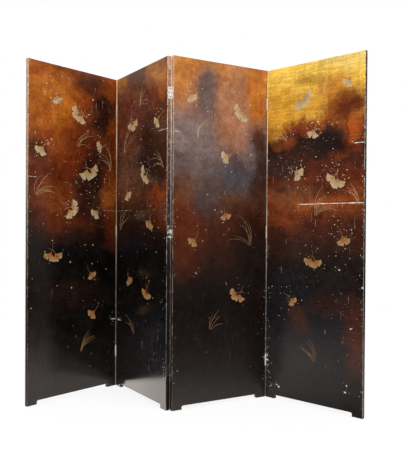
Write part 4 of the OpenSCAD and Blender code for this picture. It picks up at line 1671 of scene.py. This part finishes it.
def scratch(leaf, dice):
    """One front's fields of fine scratches."""
    scratches = Relief()
    for x, z, wide, high, count, level_share in SCRATCHED[leaf]:
        for _ in range(count):
            start_x = kept_within(dice.gauss(x, wide / 2), 0.01, LEAF_WIDTH - 0.05)
            start_z = kept_within(dice.gauss(z, high / 2), 0.08, LEAF_HEIGHT - 0.02)
            level = dice.random() < level_share
            length = 0.004 + (0.022 if level else 0.06) * dice.random() ** 3
            tilt = dice.uniform(-0.04, 0.04) * length
            end = (start_x + length, start_z + tilt) if level else (start_x + tilt, start_z - length)
            crack_line(scratches, (start_x, start_z), end, dice.uniform(0.0005, 0.0013), dice)
    scratches.piece(f"{leaf}_scratches", leaf, SCRATCHED_LACQUER)


for leaf in LEAVES:
    lacquered_board(leaf, "front", FRONT_LACQUER[leaf], RUBBED[leaf])
    lacquered_board(leaf, "back", BACK_LACQUER, BACK_RUBBED)
    lay_sprigs(leaf, "cream", CREAM_SPRIGS[leaf], CREAM_GOLD[leaf])
    lay_sprigs(leaf, "old_gold", OLD_SPRIGS[leaf], AGED_GOLD[leaf])
    lay_grasses(leaf)
    strew_dust(leaf)
    wear_dice = random.Random(f"{leaf} wear")
    chip(leaf, wear_dice)
    crack(leaf, wear_dice)
    scratch(leaf, wear_dice)
for (leaf, side), meets in MEETING_SIDES.items():
    meeting_bead(leaf, side, meets)


# The CAD nodes that stay, each with its finish

NODE_FINISHES = (
    ("stile", EDGE_LACQUER), ("rail", RAIL_LACQUER), ("core", CORE_WOOD), ("facing", BACK_LACQUER),
    ("plate", FOLDED_BRASS), ("pin", FOLDED_BRASS), ("screws", SCREW_IRON),
)
OUTER_STILES = {"leaf_1_left_stile": "leaf_1", "leaf_4_right_stile": "leaf_4"}


def finish_nodes():
    """Gives each node its finish by how its name ends, with the outer stiles and the middle fold apart."""
    for name, node in frame["nodes"].items():
        for ending, material in NODE_FINISHES:
            if name.endswith(ending):
                if name in OUTER_STILES:
                    material = OUTER_EDGES[OUTER_STILES[name]]
                if name.startswith("fold_2"):
                    material = HANDLED_BRASS
                for place in node.material_slots:
                    place.link = "OBJECT"
                    place.material = material


finish_nodes()


# The studio

WHITE = grey(1.0)
# (from in front of the screen to behind it, brightness)
ROOM_STOPS = (
    (0.0, 0.06), (0.25, 0.08), (0.33, 0.15), (0.42, 0.36),
    (0.5, 0.36), (0.6, 0.2), (0.74, 0.2), (0.9, 1.0),
)
ROOM_TINT = (1.0, 0.92, 0.85, 1.0)
ROOM_DIMS_UPWARD = 0.25
STUDIO_LIGHT = 0.62
FLOOR_REACH = 9.0
FLOOR_DROP = 0.0002
# The floor's own light near the screen and far away, and from where up to where it changes
FLOOR_OWN = (0.8, 1.0)
FLOOR_OWN_SPAN = (1.2, 3.5)
FLOOR_MATT = grey(0.92)
FLOOR_MATT_SEEN = grey(0.95)
FLOOR_GLOW_CENTRE = (-0.45, 0.05, 0.0)
FLOOR_GLOW_REACH = 5.0
# (away from the centre, as a share of the reach, brightness in the lacquer)
FLOOR_GLOW_STOPS = (
    (0.0, 1.0), (0.07, 1.0), (0.14, 0.74), (0.20, 0.56),
    (0.25, 0.34), (0.36, 0.18), (0.6, 0.09), (1.0, 0.07),
)


def ray_kinds(wires):
    """Whether a ray comes from the camera, off gloss or through glass, and whether from the camera."""
    path = wires.lay("ShaderNodeLightPath").outputs
    shown = wires.larger(path["Is Camera Ray"], path["Is Glossy Ray"])
    return wires.larger(shown, path["Is Transmission Ray"]), path["Is Camera Ray"]


def light_world():
    """White for the camera, a dim room with a bright back for the gloss, and an even light for the rest."""
    world = bpy.data.worlds.new("studio")
    bpy.context.scene.world = world
    world.use_nodes = True
    world.node_tree.nodes.clear()
    wires = Wiring(world.node_tree)
    shown, by_camera = ray_kinds(wires)
    heading = wires.lay("ShaderNodeTexCoord").outputs["Generated"]
    depth = wires.span(wires.axis(heading, 1), -1.0, 1.0, 0.0, 1.0, smooth=False)
    upward = wires.larger(wires.axis(heading, 2), 0.0)
    depth = wires.minus(depth, wires.times(upward, ROOM_DIMS_UPWARD))
    room = wires.ramp(depth, [(at, grey(level)) for at, level in ROOM_STOPS])
    room = wires.tinted(room, ROOM_TINT)
    seen = wires.mix(by_camera, room, WHITE)
    backdrop = wires.lay("ShaderNodeBackground", {"Color": seen})
    even = wires.lay("ShaderNodeBackground", {"Color": WHITE, "Strength": STUDIO_LIGHT})
    both = wires.lay("ShaderNodeMixShader", {0: shown, 1: even.outputs[0], 2: backdrop.outputs[0]})
    wires.lay("ShaderNodeOutputWorld", {"Surface": both.outputs[0]})


def lay_floor():
    """A wide pale floor, which keeps the screen's shadow."""
    mesh = bpy.data.meshes.new("floor")
    corners = [(FLOOR_REACH * x, FLOOR_REACH * y, 0) for x, y in ((-1, -1), (1, -1), (1, 1), (-1, 1))]
    mesh.from_pydata(corners, [], [(0, 1, 2, 3)])
    floor = bpy.data.objects.new("floor", mesh)
    bpy.context.scene.collection.objects.link(floor)
    floor.location.z = -FLOOR_DROP
    made = bpy.data.materials.new("floor")
    made.use_nodes = True
    made.node_tree.nodes.clear()
    wires = Wiring(made.node_tree)
    shown, by_camera = ray_kinds(wires)
    place = wires.lay("ShaderNodeTexCoord").outputs["Object"]
    away = wires.length(place)
    from_glow = wires.length(wires.vector("SUBTRACT", place, FLOOR_GLOW_CENTRE))
    far = wires.span(from_glow, 0.0, FLOOR_GLOW_REACH, 0.0, 1.0, smooth=False)
    lit = wires.ramp(far, [(at, grey(level)) for at, level in FLOOR_GLOW_STOPS])
    lit = wires.tinted(lit, ROOM_TINT)
    own_colour = wires.mix(by_camera, lit, WHITE)
    matt_colour = wires.mix(by_camera, wires.tinted(lit, FLOOR_MATT), FLOOR_MATT_SEEN)
    matt = wires.lay("ShaderNodeBsdfDiffuse", {"Color": matt_colour})
    own = wires.lay("ShaderNodeEmission", {"Color": own_colour})
    share = wires.times(shown, wires.span(away, *FLOOR_OWN_SPAN, *FLOOR_OWN))
    both = wires.lay("ShaderNodeMixShader", {0: share, 1: matt.outputs[0], 2: own.outputs[0]})
    wires.lay("ShaderNodeOutputMaterial", {"Surface": both.outputs[0]})
    mesh.materials.append(made)


LAMP_SIZE = 2.0
LAMP_AIM = (0, 0, 0.7)
LAMPS = {
    "left_lamp": ((-2.0, -2.3, 4.6), 112),
    "right_lamp": ((2.0, -2.3, 4.6), 112),
    "back_lamp": ((0.0, 2.9, 4.4), 90),
}


def hang_lamp(name, spot, power):
    """A soft square lamp, turned to the screen."""
    data = bpy.data.lights.new(name, "AREA")
    data.shape = "SQUARE"
    data.size = LAMP_SIZE
    data.energy = power
    lamp = bpy.data.objects.new(name, data)
    bpy.context.scene.collection.objects.link(lamp)
    lamp.location = spot
    lamp.rotation_euler = (Vector(LAMP_AIM) - Vector(spot)).to_track_quat("-Z", "Y").to_euler()


light_world()
lay_floor()
for name, (spot, power) in LAMPS.items():
    hang_lamp(name, spot, power)

bpy.context.scene.view_settings.view_transform = "Standard"
